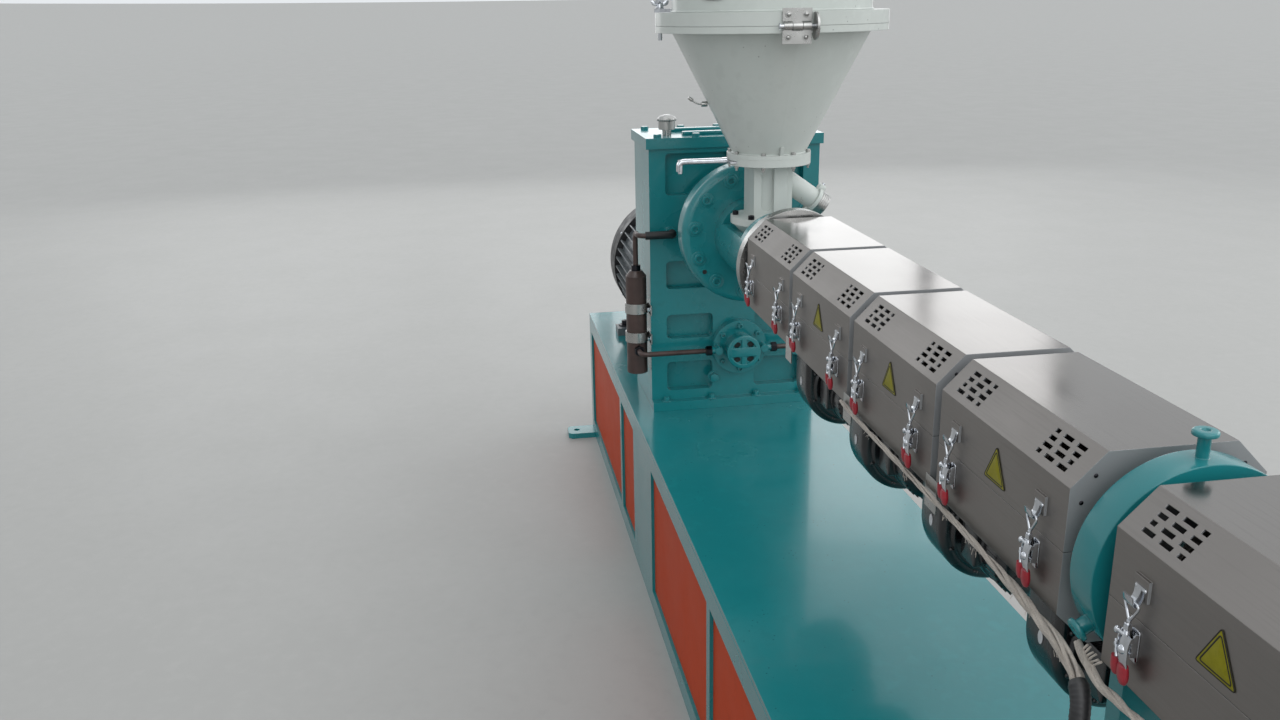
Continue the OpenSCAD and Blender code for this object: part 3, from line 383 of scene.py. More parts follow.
class Coat:
    """A material under work: its nodes, its links and its shader."""

    def __init__(self, name, colour, roughness, metallic=0.0, coat=0.0, coat_roughness=0.08,
                 anisotropic=0.0):
        self.material = bpy.data.materials.new(name)
        self.material.use_nodes = True
        self.material.diffuse_color = (*colour, 1)
        self.nodes, self.links = self.material.node_tree.nodes, self.material.node_tree.links
        self.shader = next(n for n in self.nodes if n.type == "BSDF_PRINCIPLED")
        values = {
            "Base Color": (*colour, 1),
            "Roughness": roughness,
            "Metallic": metallic,
            "Coat Weight": coat,
            "Coat Roughness": coat_roughness,
            "Anisotropic": anisotropic,
        }
        for socket, value in values.items():
            self.shader.inputs[socket].default_value = value
        self.colour, self.roughness, self.normal = colour, roughness, None
        self.coordinates = self.add("ShaderNodeTexCoord")
        self.place = self.coordinates.outputs["Object"]

    def add(self, kind, **settings):
        """A new node with its settings."""
        node = self.nodes.new(kind)
        for key, value in settings.items():
            setattr(node, key, value)
        return node

    def feed(self, node, **values):
        """Links or sets a node's inputs, each named with _ for a space."""
        for key, value in values.items():
            socket = node.inputs[key.replace("_", " ")]
            if isinstance(value, bpy.types.NodeSocket):
                self.links.new(value, socket)
            else:
                socket.default_value = value
        return node

    def along_run(self):
        """Lets the patterns follow the piece's own straightened coordinates."""
        self.place = self.add("ShaderNodeAttribute", attribute_name="run").outputs["Vector"]
        return self

    def noise(self, scale, stretch=(1, 1, 1), detail=4.0, rough=0.55, warp=0.0):
        """Cloudy values in the piece's own space, finer along an axis where stretch is larger."""
        mapping = self.feed(self.add("ShaderNodeMapping"), Vector=self.place, Scale=stretch)
        node = self.feed(self.add("ShaderNodeTexNoise"), Vector=mapping.outputs[0], Scale=scale,
                         Detail=detail, Roughness=rough, Distortion=warp)
        return node.outputs["Fac"]

    def cells(self, scale):
        """Distance to the nearest of many scattered points."""
        node = self.feed(self.add("ShaderNodeTexVoronoi"), Vector=self.place, Scale=scale)
        return node.outputs["Distance"]

    def way(self):
        """The way that the surface looks, in the piece's own space, split in three."""
        split = self.add("ShaderNodeSeparateXYZ")
        self.links.new(self.coordinates.outputs["Normal"], split.inputs[0])
        return split

    def level(self, value, low_in, high_in, low_out=0.0, high_out=1.0):
        """Carries a range of values to another, held at its ends."""
        node = self.add("ShaderNodeMapRange", clamp=True, interpolation_type="SMOOTHSTEP")
        self.feed(node, Value=value, From_Min=low_in, From_Max=high_in, To_Min=low_out, To_Max=high_out)
        return node.outputs[0]

    def times(self, a, b):
        """One varying value times another."""
        node = self.add("ShaderNodeMath", operation="MULTIPLY")
        for value, socket in zip((a, b), node.inputs):
            self.links.new(value, socket)
        return node.outputs[0]

    def tint(self, share, colour):
        """Mixes a colour over what the paint has so far, by a varying share."""
        node = self.add("ShaderNodeMix", data_type="RGBA")
        self.links.new(share, node.inputs["Factor"])
        source = self.shader.inputs["Base Color"]
        if source.is_linked:
            self.links.new(source.links[0].from_socket, node.inputs["A"])
        else:
            node.inputs["A"].default_value = source.default_value
        node.inputs["B"].default_value = (*colour, 1)
        self.links.new(node.outputs["Result"], source)
        return self

    def mottle(self, scale, amount, stretch=(1, 1, 1), detail=4.0):
        """Colour a little darker and lighter in soft patches."""
        value = self.noise(scale, stretch, detail)
        dark = tuple(c * (1 - amount) for c in self.colour)
        light = tuple(min(1, c * (1 + amount) + amount * 0.02) for c in self.colour)
        self.tint(self.level(value, 0.32, 0.5, 1, 0), dark)
        return self.tint(self.level(value, 0.5, 0.7, 0, 1), light)

    def gloss(self, scale, spread, stretch=(1, 1, 1)):
        """Roughness that drifts by spread on both sides of the finish's own."""
        value = self.noise(scale, stretch, 5.0)
        low_out, high_out = max(0.03, self.roughness - spread), self.roughness + spread
        self.links.new(self.level(value, 0.3, 0.7, low_out, high_out), self.shader.inputs["Roughness"])
        return self

    def bump(self, value, depth, strength=1.0):
        """Raises the surface by a varying value, over what it has so far."""
        node = self.feed(self.add("ShaderNodeBump"), Height=value, Distance=depth, Strength=strength)
        if self.normal is not None:
            self.links.new(self.normal, node.inputs["Normal"])
        self.normal = node.outputs["Normal"]
        self.links.new(self.normal, self.shader.inputs["Normal"])
        return self

    def soft_edges(self, radius):
        """Turns the shading over sharp edges, as a radius on them would."""
        node = self.add("ShaderNodeBevel", samples=4)
        node.inputs["Radius"].default_value = radius
        self.normal = node.outputs["Normal"]
        self.links.new(self.normal, self.shader.inputs["Normal"])
        return self

    def dust(self, colour, amount, scale=14.0):
        """A pale film in patches on the faces that look up."""
        up = self.level(self.way().outputs["Z"], 0.4, 1.0, 0, amount)
        patches = self.level(self.noise(scale, detail=6.0), 0.4, 0.72, 0.15, 1)
        return self.tint(self.times(up, patches), colour)

    def specks(self, scale, size, share, colour):
        """Small chips and dots scattered over the surface."""
        dots = self.level(self.cells(scale), size * 0.6, size, 1, 0)
        keep = self.level(self.noise(scale * 0.21, detail=1.0), 0.62, 0.66, 0, share)
        return self.tint(self.times(dots, keep), colour)


def painted(name, colour, roughness=0.24, coat=0.45, shine=0.5):
    """Gloss machine enamel: orange peel, drifting gloss, a little dust and a few chips."""
    c = Coat(name, colour, roughness, coat=coat, coat_roughness=0.07).soft_edges(0.0016)
    c.shader.inputs["Specular IOR Level"].default_value = shine
    c.mottle(1.7, 0.07, detail=1.5).mottle(31.0, 0.02)
    c.dust((0.42, 0.46, 0.45), 0.035, 3.0)
    c.specks(90.0, 0.16, 0.8, tuple(0.35 * k for k in colour))
    c.gloss(3.0, 0.05)
    return c.bump(c.noise(150.0, detail=2.0), 0.00025, 0.35).bump(c.noise(6.0), 0.004, 0.06).material


def brushed(name, colour, roughness=0.43):
    """Sheet steel with fine lines along the machine.

    Its sides are satin, its tops mirror and its pressed ends are dull, and its undersides are darkened
    almost to black with painted shade.
    """
    c = Coat(name, colour, roughness, metallic=1.0, anisotropic=0.3).soft_edges(0.0013)
    c.mottle(3.2, 0.06, detail=2.0).mottle(300.0, 0.025, (0.03, 1, 1), 2.0)
    smears = c.level(c.noise(4.5, (0.6, 1.3, 1.3), 2.5, 0.5, 0.4), 0.5, 0.8, 0, 0.3)
    c.tint(smears, tuple(0.78 * k for k in colour))
    split = c.way()
    endwards = c.add("ShaderNodeMath", operation="ABSOLUTE")
    c.links.new(split.outputs["X"], endwards.inputs[0])
    c.links.new(c.level(endwards.outputs[0], 0.9, 0.97, 1.0, 0.35), c.shader.inputs["Metallic"])
    c.tint(c.level(endwards.outputs[0], 0.9, 0.97, 0.0, 1.0), (0.30, 0.31, 0.32))
    # Painted shade: faces that look down are darkened almost to black.
    c.tint(c.level(split.outputs["Z"], -0.8, -0.5, 0.9, 0.0), (0.035, 0.045, 0.045))
    top = c.level(split.outputs["Z"], 0.75, 0.97, 1.0, 0.36)
    drift = c.level(c.noise(6.0, detail=3.0), 0.3, 0.7, roughness - 0.05, roughness + 0.05)
    c.links.new(c.times(top, drift), c.shader.inputs["Roughness"])
    lines = c.noise(260.0, (0.012, 1, 1), 2.0, 0.5)
    return c.bump(lines, 0.00003, 0.2).bump(c.noise(3.0, detail=1.0), 0.006, 0.05).material


def plated(name, colour, roughness=0.13):
    """Bright zinc plate: small cloudy spots, fine scratches."""
    c = Coat(name, colour, roughness, metallic=1.0)
    c.mottle(120.0, 0.12).gloss(60.0, 0.07)
    return c.bump(c.noise(420.0, (1, 1, 0.3), 2.0), 0.00008, 0.5).material


def machined(name, colour, roughness=0.3):
    """Turned steel with an oily drift in its gloss."""
    c = Coat(name, colour, roughness, metallic=1.0).soft_edges(0.001)
    c.mottle(16.0, 0.14).gloss(22.0, 0.1)
    return c.bump(c.noise(380.0, (1, 0.2, 0.2), 2.0), 0.00006, 0.4).material


def cast(name, colour, roughness=0.5, metallic=0.0):
    """A rough cast or stove-black surface."""
    c = Coat(name, colour, roughness, metallic=metallic).soft_edges(0.0012)
    c.mottle(24.0, 0.2).dust((0.3, 0.3, 0.29), 0.12).gloss(30.0, 0.12)
    return c.bump(c.noise(210.0, detail=5.0), 0.0005, 0.45).material


def moulded(name, colour, roughness=0.28, coat=0.3):
    """Glossy moulded black: faint grain, handling marks and dust on top."""
    c = Coat(name, colour, roughness, coat=coat, coat_roughness=0.12).soft_edges(0.0012)
    c.mottle(18.0, 0.25).dust((0.2, 0.21, 0.21), 0.14).gloss(26.0, 0.1)
    return c.bump(c.noise(340.0, detail=3.0), 0.00012, 0.35).material


def dipped(name, colour):
    """Soft dipped vinyl: runs thicker downwards, slight sheen."""
    c = Coat(name, colour, 0.36, coat=0.25, coat_roughness=0.2)
    c.shader.inputs["Subsurface Weight"].default_value = 0.08
    c.shader.inputs["Subsurface Scale"].default_value = 0.002
    c.mottle(70.0, 0.18).gloss(80.0, 0.08)
    return c.bump(c.noise(160.0, (1, 1, 0.4)), 0.0004, 0.4).material


def braided(name, colour):
    """Glass-fibre sleeving: a fine braid round the strand, stained and frayed in patches."""
    c = Coat(name, colour, 0.78).along_run()
    c.shader.inputs["Sheen Weight"].default_value = 0.3
    c.mottle(26.0, 0.22, (1, 6, 6)).mottle(160.0, 0.12)
    c.tint(c.level(c.noise(9.0, (1, 3, 3), 6.0), 0.56, 0.74, 0, 0.5), (0.16, 0.14, 0.12))
    weave = c.add("ShaderNodeTexWave", wave_type="BANDS", bands_direction="DIAGONAL")
    c.feed(weave, Vector=c.place, Scale=190.0, Distortion=1.5, Detail=1.0)
    return c.bump(weave.outputs["Fac"], 0.0005, 0.7).bump(c.noise(420.0), 0.0003, 0.5).material


def enamelled(name, colour):
    """A thin enamelled sign plate, slightly faded."""
    c = Coat(name, colour, 0.42)
    c.shader.inputs["Specular IOR Level"].default_value = 0.2
    c.mottle(34.0, 0.1).mottle(210.0, 0.05)
    c.tint(c.level(c.noise(60.0, detail=7.0), 0.62, 0.8, 0, 0.35), tuple(0.55 * k for k in colour))
    c.gloss(50.0, 0.1)
    return c.bump(c.noise(240.0), 0.00008, 0.4).material


# Every finish by its name, filled by make_finishes
FINISHES = {}


def make_finishes(s):
    """Every finish on the machine, from the colours in the panel."""
    colour = {k: tuple(getattr(s, k))[:3] for k in s.__annotations__}
    FINISHES.update(
        teal=painted("teal_enamel", colour["teal"], 0.24, 0.33, 0.45),
        orange=painted("orange_enamel", colour["orange"], 0.5, 0.0, 0.1),
        cream=painted("cream_enamel", colour["cream"], 0.36, 0.25),
        cooler=cast("cooler_enamel", colour["cooler"], 0.42),
        motor=cast("motor_grey_enamel", colour["motor"], 0.4),
        stainless=brushed("brushed_stainless", colour["stainless"]),
        zinc=plated("bright_zinc", colour["zinc"]),
        steel=machined("machined_steel", colour["steel"]),
        heater=cast("heater_casting", colour["heater"], 0.42, 0.8),
        black=moulded("glossy_black_moulding", colour["black"]),
        stove=cast("stove_black", colour["stove"], 0.45),
        oxide=machined("black_bolt_steel", colour["oxide"], 0.36),
        # Near-black painted shade for the oil pump cap's hollows
        hollow=cast("shaded_hollow", (0.004, 0.012, 0.013), 0.8),
        red=dipped("red_dipped_vinyl", colour["red"]),
        sleeve=braided("glass_fibre_sleeving", colour["sleeve"]),
        yellow=enamelled("yellow_plate_enamel", colour["yellow"]),
        pale=enamelled("pale_plate_enamel", colour["pale"]),
        line=enamelled("dark_rim_enamel", colour["line"]),
        glass=moulded("sight_glass", colour["glass"], 0.08, 0.8),
    )


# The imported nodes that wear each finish
CARRIED = {
    "teal": ["base_frame", "closed_panels", "deck_plate", "anchor_lugs", "gearbox_housing", "gearbox_lid",
             "bearing_housing", "oil_pump", "feed_block", "barrel_support", "joint_ring"],
    "orange": ["side_panels", "coupling_guard"],
    "cream": ["throat_column", "hopper_cone", "hopper_drum", "hopper_lid"],
    "cooler": ["oil_cooler", "oil_pipes"],
    "motor": ["motor_body"],
    "stove": ["motor_cowl", "motor_terminal_box"],
    "steel": ["feed_flange", "barrel", "die_flange", "cooler_straps", "heat_sensor", "drain_slide",
              "breather", "hopper_hinge", "drum_hinge_leaf", "tray_links"],
    "zinc": ["slide_gate", "rim_clamps", "screw", "latches"],
    "heater": ["heater_bands"],
    "stainless": [f"{kind}_{i}" for kind in ("cover", "tray") for i in range(1, ZONES + 1)],
    "black": ["blower_scrolls", "blower_motors", "loom_gland"],
    "red": ["latch_grips"],
    "sleeve": ["wire_loom"],
}
# The material slot that goes with a finish
SLOTS = {
    "teal": "teal_paint", "orange": "orange_paint", "cream": "cream_paint", "cooler": "cooler_paint",
    "motor": "motor_paint", "stove": "black_paint", "steel": "machined", "zinc": "zinc",
    "heater": "heater_cast", "stainless": "stainless", "black": "black_plastic", "red": "red_grip",
    "sleeve": "glass_sleeve", "oxide": "black_paint",
}


def add(name, shape, finish, body="root", **more):
    """A piece in one of the machine's finishes."""
    return piece(name, shape, FINISHES[finish], body, SLOTS.get(finish), **more)


# The stage


def stand(obj, turn, spot):
    """Turns a lamp or the camera and puts it in its place."""
    grid = np.eye(4)
    grid[:3, :3], grid[:3, 3] = turn, spot
    obj.matrix_world = Matrix(grid.tolist())


def aim_camera(s):
    """The photograph's viewpoint: turned s.turn off -X, s.dip down, rolled by s.roll."""
    turn, dip, roll = s.turn, s.dip, s.roll
    ahead = np.array([-np.cos(turn) * np.cos(dip), np.sin(turn) * np.cos(dip), -np.sin(dip)])
    right = np.array([np.sin(turn), np.cos(turn), 0.0])
    up = np.cross(right, ahead)
    rolled = np.cos(roll) * right + np.sin(roll) * up, np.cos(roll) * up - np.sin(roll) * right
    camera = bpy.data.cameras.new("view")
    camera.lens, camera.sensor_width, camera.clip_end = s.lens, 36.0, 200.0
    obj = linked("view", camera)
    stand(obj, np.stack([*rolled, -ahead], -1), s.eye)
    bpy.context.scene.camera = obj


def panel_lamp(name, size, centre, aim, radiance):
    """A flat lamp of a given brightness: its power is pi times its area times its radiance."""
    lamp = bpy.data.lights.new(name, "AREA")
    lamp.shape, lamp.size, lamp.size_y = "RECTANGLE", *size
    lamp.energy = np.pi * size[0] * size[1] * radiance
    obj = linked(name, lamp)
    stand(obj, facing(np.subtract(centre, aim)), centre)
    obj.visible_camera = False


def sun(name, direction, strength, spread):
    """A wide soft lamp far away: it lights a face turned to it by strength / pi."""
    lamp = bpy.data.lights.new(name, "SUN")
    lamp.energy, lamp.angle = strength, spread
    stand(linked(name, lamp), facing(direction), (0.0, 0.0, 0.0))


def make_floor(s):
    """A round floor, level out to 60 m and then z = 14 ((r - 60) / 340)^2, so that its rim stays hidden."""
    level, rim, climb = 60.0, 400.0, 14.0
    r = np.concatenate([[0.0, 0.5], np.linspace(4, level, 15), np.linspace(70, rim, 34)])
    rise = climb * np.clip((r - level) / (rim - level), 0, None) ** 2
    mesh = new_mesh("floor", turned(np.stack([r, rise], -1), 96))
    merge(mesh, face_up=True)
    coat = Coat("floor_screed", tuple(s.floor)[:3], 0.55)
    coat.mottle(0.9, 0.015).mottle(22.0, 0.02).gloss(3.0, 0.03)
    mesh.materials.append(coat.material)
    obj = linked("floor", mesh)


def make_world(s):
    """A plain sky: its full strength for the eye, for gloss and for glass, and a lower one as light."""
    world = bpy.data.worlds.new("sky")
    bpy.context.scene.world = world
    world.use_nodes = True
    nodes, links = world.node_tree.nodes, world.node_tree.links
    shader = next(n for n in nodes if n.type == "BACKGROUND")
    shader.inputs["Color"].default_value = (0.93, 0.97, 1.0, 1)
    path = nodes.new("ShaderNodeLightPath")
    total = path.outputs["Is Camera Ray"]
    for extra in ("Is Glossy Ray", "Is Transmission Ray"):
        node = nodes.new("ShaderNodeMath")
        node.operation = "MAXIMUM"
        links.new(total, node.inputs[0])
        links.new(path.outputs[extra], node.inputs[1])
        total = node.outputs[0]
    span = nodes.new("ShaderNodeMapRange")
    span.inputs["To Min"].default_value = s.sky_light
    span.inputs["To Max"].default_value = s.sky_seen
    links.new(total, span.inputs["Value"])
    links.new(span.outputs[0], shader.inputs["Strength"])


def mirror_posts():
    """Dark posts in front of the far lamps, which only the machine's gloss shows."""
    x, z, size = -7.5, 2.9, [0.08, 0.14, 3.4]
    posts = joined(*[brick(size, [x, y, z], 0.01) for y in (-4.1, -1.05, 0.5, 2.05, 3.6, 5.1)])
    coat = Coat("post_grey", (0.03, 0.035, 0.04), 0.6)
    coat.mottle(4.0, 0.1).gloss(9.0, 0.1)
    mesh = new_mesh("window_posts", posts)
    mesh.materials.append(coat.material)
    obj = linked("window_posts", mesh)
    obj.visible_camera, obj.visible_shadow = False, False


def make_stage(s):
    """The camera, the floor and the sky, three lamps past the gearbox, one at the side and two fills."""
    bpy.context.scene.view_settings.view_transform = "Standard"
    aim_camera(s)
    make_floor(s)
    make_world(s)
    for k in range(3):
        y = -2.6 + 3.1 * k
        panel_lamp(f"far_window_{k}", (2.5, 3.4), (-7.6, y, 2.9), (0.0, y * 0.4, 0.9), s.panels)
    mirror_posts()
    panel_lamp("side_windows", (7.0, 2.8), (0.2, 6.4, 3.2), (0.2, 0.0, 0.9), s.panels * 1.5)
    sun("front_fill", (1.0, 0.0, 0.75), s.fill, np.radians(80))
    sun("roof_fill", (0.1, 0.5, 1.0), s.fill * 0.75, np.radians(100))


# Covers and latches


def cover_screws():
    """Pan-head screws on the covers' end faces, and on both leaves of their hinges."""
    ends = np.array([[-0.083, 0.084], [-0.096, 0.055], [0.083, 0.084], [0.096, 0.055]]) + [0, AXIS_Z]
    first, second, leaf_z = 0.058, 0.092, 0.022
    head = dome(0.0050, 0.0015)
    for i, (x0, x1) in enumerate(COVER_X, 1):
        holes = np.array([x0 + first, x0 + second, x1 - second, x1 - first])
        leaf = np.stack([holes, np.full(4, COVER_HALF + LINK_THICK), np.full(4, AXIS_Z)], -1)
        heads = joined(set_out(head, at_x(x0, ends), TO_GEARBOX), set_out(head, at_x(x1, ends), TO_DIE),
                       set_out(head, leaf + [0, 0, leaf_z], TO_HINGES))
        add(f"cover_screws_{i}", heads, "oxide", f"cover_{i}")
        add(f"tray_screws_{i}", set_out(head, leaf - [0, 0, leaf_z], TO_HINGES), "steel")


def blank_plates(s):
    """Blank yellow triangles with two plain dark lines round them, in the middle of the covers' sides."""
    thick, corners = 0.0009, np.radians([90, 210, 330])
    triangle = s.plate_side / np.sqrt(3) * np.stack([np.cos(corners), np.sin(corners)], -1)
    outline = softened(triangle, 0.004, 5, loop=True)
    inner = softened(triangle * 0.80, 0.004, 5, loop=True)
    plate = slab(outline, thick, 0.0003, 2)
    rim = joined(swept(at_z(thick, inner), oval(0.0008, 0.0003, 8), loop=True),
                 swept(at_z(0.0007, outline * 0.985), oval(0.0008, 0.0005, 8), loop=True))
    for i in range(2, ZONES + 1):
        at = [sum(COVER_X[i - 1]) / 2, -COVER_HALF, AXIS_Z + 0.0255]
        add(f"blank_yellow_plate_{i}", set_out(plate, at, TO_LATCHES), "yellow", f"cover_{i}", angle=50)
        add(f"yellow_plate_rim_{i}", set_out(rim, at, TO_LATCHES), "line", f"cover_{i}")


def latch_places():
    """The latches' places along each cover, on the side away from the hinges."""
    for i, (x0, x1) in enumerate(COVER_X, 1):
        yield i, [[x, -COVER_HALF, AXIS_Z] for x in (x0 + LATCH_FROM_END, x1 - LATCH_FROM_END)]


# The latch's two levers: the thickness of their strips, and the place of each along the cover
LEVER_THICK, LEVER_X, SECOND_X = 0.0018, 0.0040, -0.0088


def strap(points, thick, width, x=0.0, radius=0.004):
    """A bent strip across x: a flat section carried along (up, out) points."""
    bend = softened(points, radius, 4)
    path = np.column_stack([np.full(len(bend), x), bend])
    return swept(path, oblong(thick, width, thick * 0.4, 2), lean=(1, 0, 0))


def latch_hooks(s):
    """The bent hook that each cover holds its latch's bail by."""
    hook = strap([[0.037, 0.0032], [0.026, 0.0040], [0.0205, 0.0066], [0.0182, 0.0100],
                  [0.0205, 0.0136], [0.0285, 0.0150]], 0.0016, s.hook_width, radius=0.003)
    rivets = set_out(dome(0.005, 0.0016, 12), [[-0.0062, 0.034, 0.003], [0.0062, 0.034, 0.003]])
    for i, places in latch_places():
        add(f"latch_hooks_{i}", set_out(joined(hook, rivets), places, TO_LATCHES), "zinc", f"cover_{i}")


def one_latch(s):
    """A toggle latch, drawn with x along the cover, y up and z out of its side."""
    cheek = softened([[0.0005, -0.042], [0.008, -0.042], [0.0135, -0.034], [0.0135, -0.018],
                      [0.009, -0.010], [0.0005, -0.010]], 0.004, 4, loop=True)
    low_cheek = softened([[0.0005, -0.036], [0.006, -0.036], [0.0085, -0.030], [0.0085, -0.018],
                          [0.006, -0.012], [0.0005, -0.012]], 0.003, 4, loop=True)
    cheeks = joined(set_out(slab(cheek, 0.0015, 0.0004, 2), [-0.0088, 0, 0], SIDEWAYS),
                    set_out(slab(low_cheek, 0.0015, 0.0004, 2), [0.0050, 0, 0], SIDEWAYS))
    base = set_out(slab(oblong(0.013, 0.034, 0.004), 0.0014, 0.0005, 2), [-0.0012, -0.026, 0])
    pin = softened([[0, -0.0150], [0.0040, -0.0150], [0.0040, -0.0120], [0.0020, -0.0115],
                    [0.0020, 0.0076], [0.0028, 0.0080], [0.0028, 0.0090], [0, 0.0090]], 0.0014, 3)
    pins = set_out(turned(pin, 16), [[0, -0.0150, 0.0112], [0, -0.0300, 0.0095]], TO_DIE)
    knob = set_out(dome(0.0105, 0.0058), [0.002, -0.0265, 0.0135])
    lever = strap([[-0.012, 0.0125], [-0.020, 0.0150], [-0.036, 0.0150], [-0.048, 0.0130], [-0.058, 0.0120]],
                  LEVER_THICK, s.lever_width, LEVER_X)
    second = strap([[-0.021, 0.0100], [-0.034, 0.0125], [-0.046, 0.0120], [-0.055, 0.0115]],
                   LEVER_THICK, 0.0075, SECOND_X)
    brace = rod([-0.0125, -0.024, 0.0125], [-0.0045, -0.038, 0.0155], 0.0013, 10)
    spindle = rod([0, -0.018, 0.0115], [0, 0.0025, 0.0105], 0.0023, 12)
    groove = turned([[0.0023, 0], [0.0028, 0.0006], [0.0023, 0.0012]], 12, loop=True)
    thread = set_out(groove, [[0, -0.0155 + 0.0013 * k, 0.0114] for k in range(12)], TO_HINGES)
    nut = set_out(hex_bolt(0.0075, False), [0, -0.0065, 0.0110], TO_HINGES)
    corners = [[0.0004, 0.0010, 0.0105], [0.0125, 0.0212, 0.0100], [-0.0120, 0.0212, 0.0100]]
    wire = oval(s.wire / 2, s.wire / 2, 10)
    bail = swept(softened(corners, 0.005, 6, loop=True), wire, loop=True)
    return joined(cheeks, base, pins, knob, lever, second, brace, spindle, thread, nut, bail)


def one_grip(x, top, foot, half, thick):
    """A dipped sleeve: an oval section that narrows by sqrt(1 - t^7) and closes round its foot."""
    t = np.linspace(0, 1, 18)
    path = np.stack([0 * t + x, top + (foot - top) * t, 0.0133 - 0.0015 * t], -1)
    sizes = np.sqrt(np.clip(1 - t**7, 0.0004, 1)) * (0.86 + 0.14 * np.sin(np.pi * np.clip(t * 1.2, 0, 1)))
    return swept(path, oval(thick / 2, half, 20), (1, 0, 0), sizes)


def latches(s):
    """All the latches' metal as one piece, and their red grips as another."""
    places = np.vstack([places for _, places in latch_places()])
    add("latch_metal", set_out(one_latch(s), places, TO_LATCHES), "zinc", stands_for=["latches"])
    grips = joined(one_grip(LEVER_X, -0.0425, -0.0635, s.grip_width / 2, 0.0088),
                   one_grip(SECOND_X, -0.0395, -0.0600, s.grip_width * 0.36, 0.0080))
    add("latch_red_grips", set_out(grips, places, TO_LATCHES), "red", stands_for=["latch_grips"])


# Blowers


def scroll_outline(radius, duct_side, duct_top, steps=96):
    """The scroll's side view round its shaft: a circle, or the duct's box where that reaches further."""
    corner = np.arctan2(duct_top, -duct_side)
    a = np.sort(np.append(np.arange(steps) * 2 * np.pi / steps, corner))
    c, s = np.cos(a), np.sin(a)
    box = np.minimum(duct_side / np.maximum(-c, 1e-6), duct_top / np.maximum(s, 1e-6))
    r = np.where((c < -0.05) & (s > 1e-6), np.maximum(radius, box), radius)
    return np.stack([r * c, r * s], -1)


def blower_casing(s):
    """A blower's scroll, flanges, guard and screws, drawn with x along its shaft towards the motor."""
    shaft, far = middle("blower_motors"), high("blower_scrolls")
    radius, top, sunk = far[1] - shaft[1], far[2] - shaft[2], 0.0008
    outline = scroll_outline(radius, radius, top - 0.006)
    seam = scroll_outline(radius - sunk, radius - sunk, top - 0.010) * 1.006
    duct = slab(oblong(2 * CASING_HALF + 0.016, 0.086, 0.006), 0.006, 0.0012, 2)
    face = softened([[0, 0], [0.066, 0], [0.066, 0.004], [0.058, 0.0055], [0, 0.0055]], 0.0015, 3)
    guard = [turned(np.array([r, 0.0048]) + oval(0.0018, 0.0022, 8), 40, loop=True)
             for r in (0.022, 0.034, 0.046)]
    head = dome(0.008, 0.003, 12)
    screws = at_x(CASING_HALF + 0.0002, circle_of(8, 0.0755, 22.5))
    boss = softened([[0, 0], [0.074, 0], [0.070, 0.006], [0, 0.006]], 0.002, 3)
    return joined(
        set_out(slab(outline, 2 * CASING_HALF, s.scroll_edge, 5), [-CASING_HALF, 0, 0], TO_DIE),
        set_out(duct, [0, 0.035 - radius, top - 0.006]),
        set_out(slab(seam, 0.005, 0.001, 2), [CASING_HALF - 0.022, 0, 0], TO_DIE),
        set_out(joined(turned(face, 48), *guard), [-CASING_HALF, 0, 0], TO_GEARBOX),
        set_out(head, screws, TO_DIE),
        set_out(head, screws * [-1, 1, 1], TO_GEARBOX),
        set_out(turned(boss, 48), [CASING_HALF, 0, 0], TO_DIE),
    )


def blower_motor(s, length):
    """The blower's motor: a ribbed can with a rounded end and a vented cap, along +X."""
    r = (high("blower_motors")[1] - low("blower_motors")[1]) / 2
    can = softened([[0, 0.002], [r - 0.004, 0.002], [r - 0.004, 0.016], [r, 0.018], [r, length * 0.56],
                    [r - 0.003, length * 0.58], [r - 0.003, length - 0.012], [r * 0.72, length - 0.001],
                    [0, length - 0.001]], 0.005, 4)
    along = np.array([0, 0, 1.0])
    rib = slab(oblong(length * 0.30, 0.003, 0.001, 2), 0.0012, 0.0004, 2)
    a = np.arange(s.motor_ribs) * 2 * np.pi / s.motor_ribs
    out = np.stack([np.cos(a), np.sin(a), 0 * a], -1)
    rib_turns = np.stack([np.broadcast_to(along, out.shape), np.cross(out, along), out], -1)
    slot = slab(oblong(0.004, 0.020, 0.0015, 2), 0.0012, 0.0004, 1)
    b = np.arange(12) * np.pi / 6
    spokes = np.stack([np.cos(b), np.sin(b), 0 * b], -1)
    slot_turns = np.stack([np.cross(along, spokes), spokes, np.broadcast_to(along, spokes.shape)], -1)
    upright = joined(turned(can, 64), set_out(rib, out * (r - 0.0035) + [0, 0, length * 0.76], rib_turns),
                     set_out(slot, spokes * 0.028 + [0, 0, length - 0.0014], slot_turns))
    return set_out(upright, [0, 0, 0], TO_DIE)


def blowers(s):
    """The blowers' casings, their motors with terminal boxes, and the blank ovals on the casings."""
    motor = middle("blower_motors")
    shafts = np.array([[sum(x) / 2, motor[1], motor[2]] for x in COVER_X])
    casings = set_out(blower_casing(s), shafts)
    add("blower_casings", casings, "black", stands_for=["blower_scrolls"], angle=40)
    length = high("blower_motors")[0] - shafts[-1][0] - CASING_HALF
    box = slab(oblong(0.046, 0.062, 0.006), 0.016, 0.003, 3)
    can = joined(blower_motor(s, length), set_out(box, [length * 0.36, -0.050, 0.004], TO_LATCHES))
    cans = set_out(can, shafts + [CASING_HALF, 0, 0])
    add("blower_motor_cans", cans, "black", stands_for=["blower_motors"], angle=40)
    radius = high("blower_scrolls")[1] - motor[1]
    plate = slab(oval(s.plate_width / 2, s.plate_height / 2, 28), 0.0011, 0.0004, 2)
    add("blower_blank_ovals", set_out(plate, shafts + [0.004, -radius, 0.004], TO_LATCHES), "pale")


# Wire loom


# Steps from one of the loom's points to the next, where its black sleeve starts, and a strand's sides
LOOM_STEPS = 14
SLEEVE_START = 13 * LOOM_STEPS + 4
STRAND_SIDES = 9


